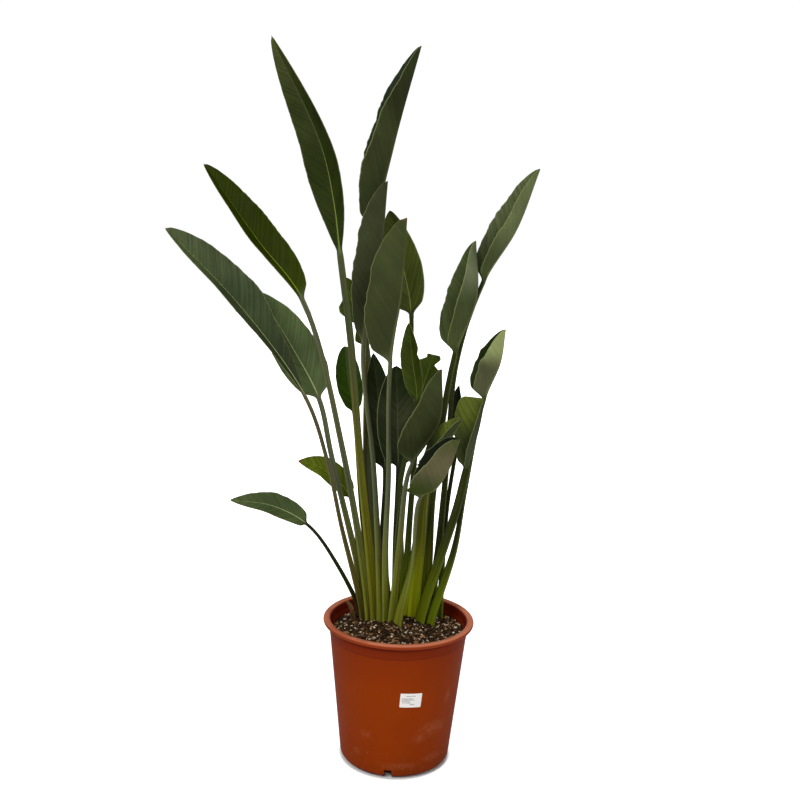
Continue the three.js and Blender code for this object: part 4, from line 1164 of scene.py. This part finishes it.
def scatterTree():
    # bits scattered over the open soil, each squashed, turned and then made uneven
    tree, given, result = newGroup("GeometryNodeTree", "soilScatter", {
        meshIn: ["Soil"], intIn: ["Detail", "Seed"], materialIn: ["Bit Skin"],
        floatIn: ["Density", "Smallest", "Largest", "Narrowness", "Flatness", "Unevenness"],
    }, {meshIn: ["Bits"]})
    b = bitShape
    openSoil = wire(tree, "GeometryNodeInputNamedAttribute", {"Name": "openSoil"}, data_type="FLOAT")
    spots = wire(tree, "GeometryNodeDistributePointsOnFaces", {
        "Mesh": given["Soil"], "Density": given["Density"] * (openSoil > 0.99), "Seed": given["Seed"],
    }, distribute_method="RANDOM")

    def chance(low, high, offset):
        node = put(tree, "FunctionNodeRandomValue", data_type="FLOAT")
        usable = [socket for socket in node.inputs if socket.enabled]
        feed(usable[0], low)
        feed(usable[1], high)
        feed(node.inputs["Seed"], given["Seed"] + offset)
        return Wire(next(socket for socket in node.outputs if socket.enabled))

    ball = wire(tree, "GeometryNodeMeshIcoSphere", {"Radius": 1.0, "Subdivisions": given["Detail"]})
    size = chance(given["Smallest"], given["Largest"], 1.0)
    width = size * given["Narrowness"] * chance(b["slimmest"], 1.0, 2.0)
    shape = joined(size, width, size * given["Flatness"])
    turn = joined(chance(-b["tilt"], b["tilt"], 3.0), chance(-b["tilt"], b["tilt"], 4.0),
                  chance(0.0, b["turn"], 5.0))
    bits = wire(tree, "GeometryNodeInstanceOnPoints", {
        "Points": spots, "Instance": ball, "Rotation": turn, "Scale": shape})
    bits = reshape(bits, "StoreNamedAttribute", {"Name": "bitTone", "Value": chance(0.0, 1.0, 6.0)},
                   data_type="FLOAT", domain="INSTANCE")
    bits = reshape(bits, "RealizeInstances")
    spot = wire(tree, "GeometryNodeInputPosition")
    rough = noiseAt(spot, calc("DIVIDE", b["unevenSize"], given["Largest"]), 1.0, 1)
    shift = vectorCalc("SUBTRACT", rough, (0.5, 0.5, 0.5))
    shift = vectorCalc("SCALE", shift, given["Unevenness"] * given["Largest"])
    bits = reshape(bits, "SetPosition", {"Offset": shift})
    bits = reshape(bits, "SetShadeSmooth", {"Shade Smooth": False})
    feed(result["Bits"], reshape(bits, "SetMaterial", {"Material": given["Bit Skin"]}))
    return tree


def makeBitSkin(name, bit):
    material, tree, shader = newMaterial(name, {
        "Roughness": bit["roughness"], "Specular IOR Level": soilShape["sheen"]})
    b = bitShape
    grain = noiseAt(objectSpot(tree), b["grainScale"], 3.0)
    mixed = calc("ADD", (grain - 0.5) * b["grainTone"], attribute(tree, "bitTone"), clamp=True)
    dress(shader, mixColour(mixed, bit["low"], bit["high"]), None, grain, *b["bump"])
    return material


def makeBits(soil):
    tree = scatterTree()
    for name, bit in scatterings.items():
        piece = addToScene(name, soil.data.copy())
        runNodes(piece, tree, {
            "Density": float(bit["density"]), "Smallest": bit["size"][0] * mm,
            "Largest": bit["size"][1] * mm, "Narrowness": bit["narrow"], "Flatness": bit["flat"],
            "Unevenness": bit["uneven"], "Detail": bit["detail"], "Seed": bit["seed"],
            "Bit Skin": makeBitSkin(name, bit)})
        finishPiece(piece, "soil")
        print(name + ":", len(piece.data.polygons), "faces")


pottingMix = makeSoil()
makeBits(pottingMix)
finishPiece(pottingMix, "soil", "soil")


# Crowns under the soil keep their solids and get a fibrous skin
crownLook = {
    "fibres": (260.0, 260.0, 30.0), "dark": (0.20, 0.11, 0.05), "pale": (0.46, 0.32, 0.18),
    "bump": (0.5, 0.0005),
}


def makeCrownFinish():
    material, tree, shader = newMaterial("fibrousCrown", {"Roughness": 0.8})
    stretched = wire(tree, "ShaderNodeMapping", {"Vector": objectSpot(tree), "Scale": crownLook["fibres"]})
    fibre = noiseAt(stretched, 1.0, 3.0)
    colour = mixColour(ramp(fibre, 0.3, 0.7), crownLook["dark"], crownLook["pale"])
    dress(shader, colour, None, fibre, *crownLook["bump"])
    return material


crownFinish = makeCrownFinish()
for nodeName in ("crown_left", "crown_back", "crown_right"):
    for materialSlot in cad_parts[nodeName].material_slots:
        materialSlot.material = crownFinish

# Pale floor, soft light and the camera
studio = {
    "cameraPlace": (-0.011, -1.698, 0.924), "pitch": 8.3, "roll": 1.93, "lens": 42.75, "sensor": 36,
    "sky": (0.97, 0.98, 1.0), "skyLight": 0.24, "backdrop": 1.05,  # how bright the sky lights and looks
    "floor": (0.90, 0.90, 0.90), "floorCloud": (0.94, 0.94, 0.94), "floorHalf": 14,
    # past the shadow at the pot's foot the floor is lifted, and further away it fades into the backdrop
    "shadowFrom": 0.100, "shadowTo": 0.107, "floorLift": 0.7, "fadeFrom": 0.4, "fadeTo": 2.0,
}
lamps = {
    "key": {"place": (-1.3, -2.1, 2.8), "aim": (0, 0, 0.6), "size": 1.3, "power": 58},
    "fill": {"place": (2.2, -1.6, 1.6), "aim": (0, 0, 0.6), "size": 2.0, "power": 12},
    "front": {"place": (0.2, -2.6, 0.9), "aim": (0, 0, 0.4), "size": 1.4, "power": 14},
    "top": {"place": (0.2, 0.4, 3.4), "aim": (0, 0, 0.5), "size": 1.6, "power": 32},
}


def makeFloor():
    size = studio["floorHalf"]
    corners = [(-size, -size, 0), (size, -size, 0), (size, size, 0), (-size, size, 0)]
    floor = makeObject("studioFloor", corners, [(0, 1, 2, 3)])
    material, tree, shader = newMaterial("paleFloor", {"Roughness": 0.9, "Emission Strength": 1})
    spot = objectSpot(tree)
    feed(shader.inputs["Base Color"], mixColour(noiseAt(spot, 2.0), studio["floor"], studio["floorCloud"]))
    away = vectorCalc("LENGTH", spot, output=1)
    lift = ramp(away, studio["shadowFrom"], studio["shadowTo"], 0.0, studio["floorLift"])
    lift = lift + ramp(away, studio["fadeFrom"], studio["fadeTo"])
    seen = wire(tree, "ShaderNodeLightPath", output="Is Camera Ray")
    feed(shader.inputs["Emission Color"], lift * seen)
    floor.data.materials.append(material)


def makeLamps():
    for name, lamp in lamps.items():
        light = bpy.data.lights.new(name, "AREA")
        light.size = lamp["size"]
        light.energy = lamp["power"]
        place = Vector(lamp["place"])
        turn = (Vector(lamp["aim"]) - place).to_track_quat("-Z", "Y").to_matrix().to_4x4()
        addToScene(name, light).matrix_world = Matrix.Translation(place) @ turn
    world = bpy.data.worlds.new("softSky")
    bpy.context.scene.world = world
    world.use_nodes = True
    sky = world.node_tree.nodes["Background"]
    feed(sky.inputs["Color"], studio["sky"])
    seen = wire(world.node_tree, "ShaderNodeLightPath", output="Is Camera Ray")
    feed(sky.inputs["Strength"], mixFloat(seen, studio["skyLight"], studio["backdrop"]))


def makeCamera():
    camera = addToScene("photoCamera", bpy.data.cameras.new("photoCamera"))
    camera.data.lens = studio["lens"]
    camera.data.sensor_width = studio["sensor"]
    level = Matrix.Rotation(math.radians(90 - studio["pitch"]), 4, "X")
    roll = Matrix.Rotation(math.radians(studio["roll"]), 4, "Z")
    camera.matrix_world = Matrix.Translation(studio["cameraPlace"]) @ level @ roll
    bpy.context.scene.camera = camera


makeFloor()
makeLamps()
makeCamera()
bpy.context.scene.view_settings.view_transform = "Standard"
print("stage: floor, lamps and camera")
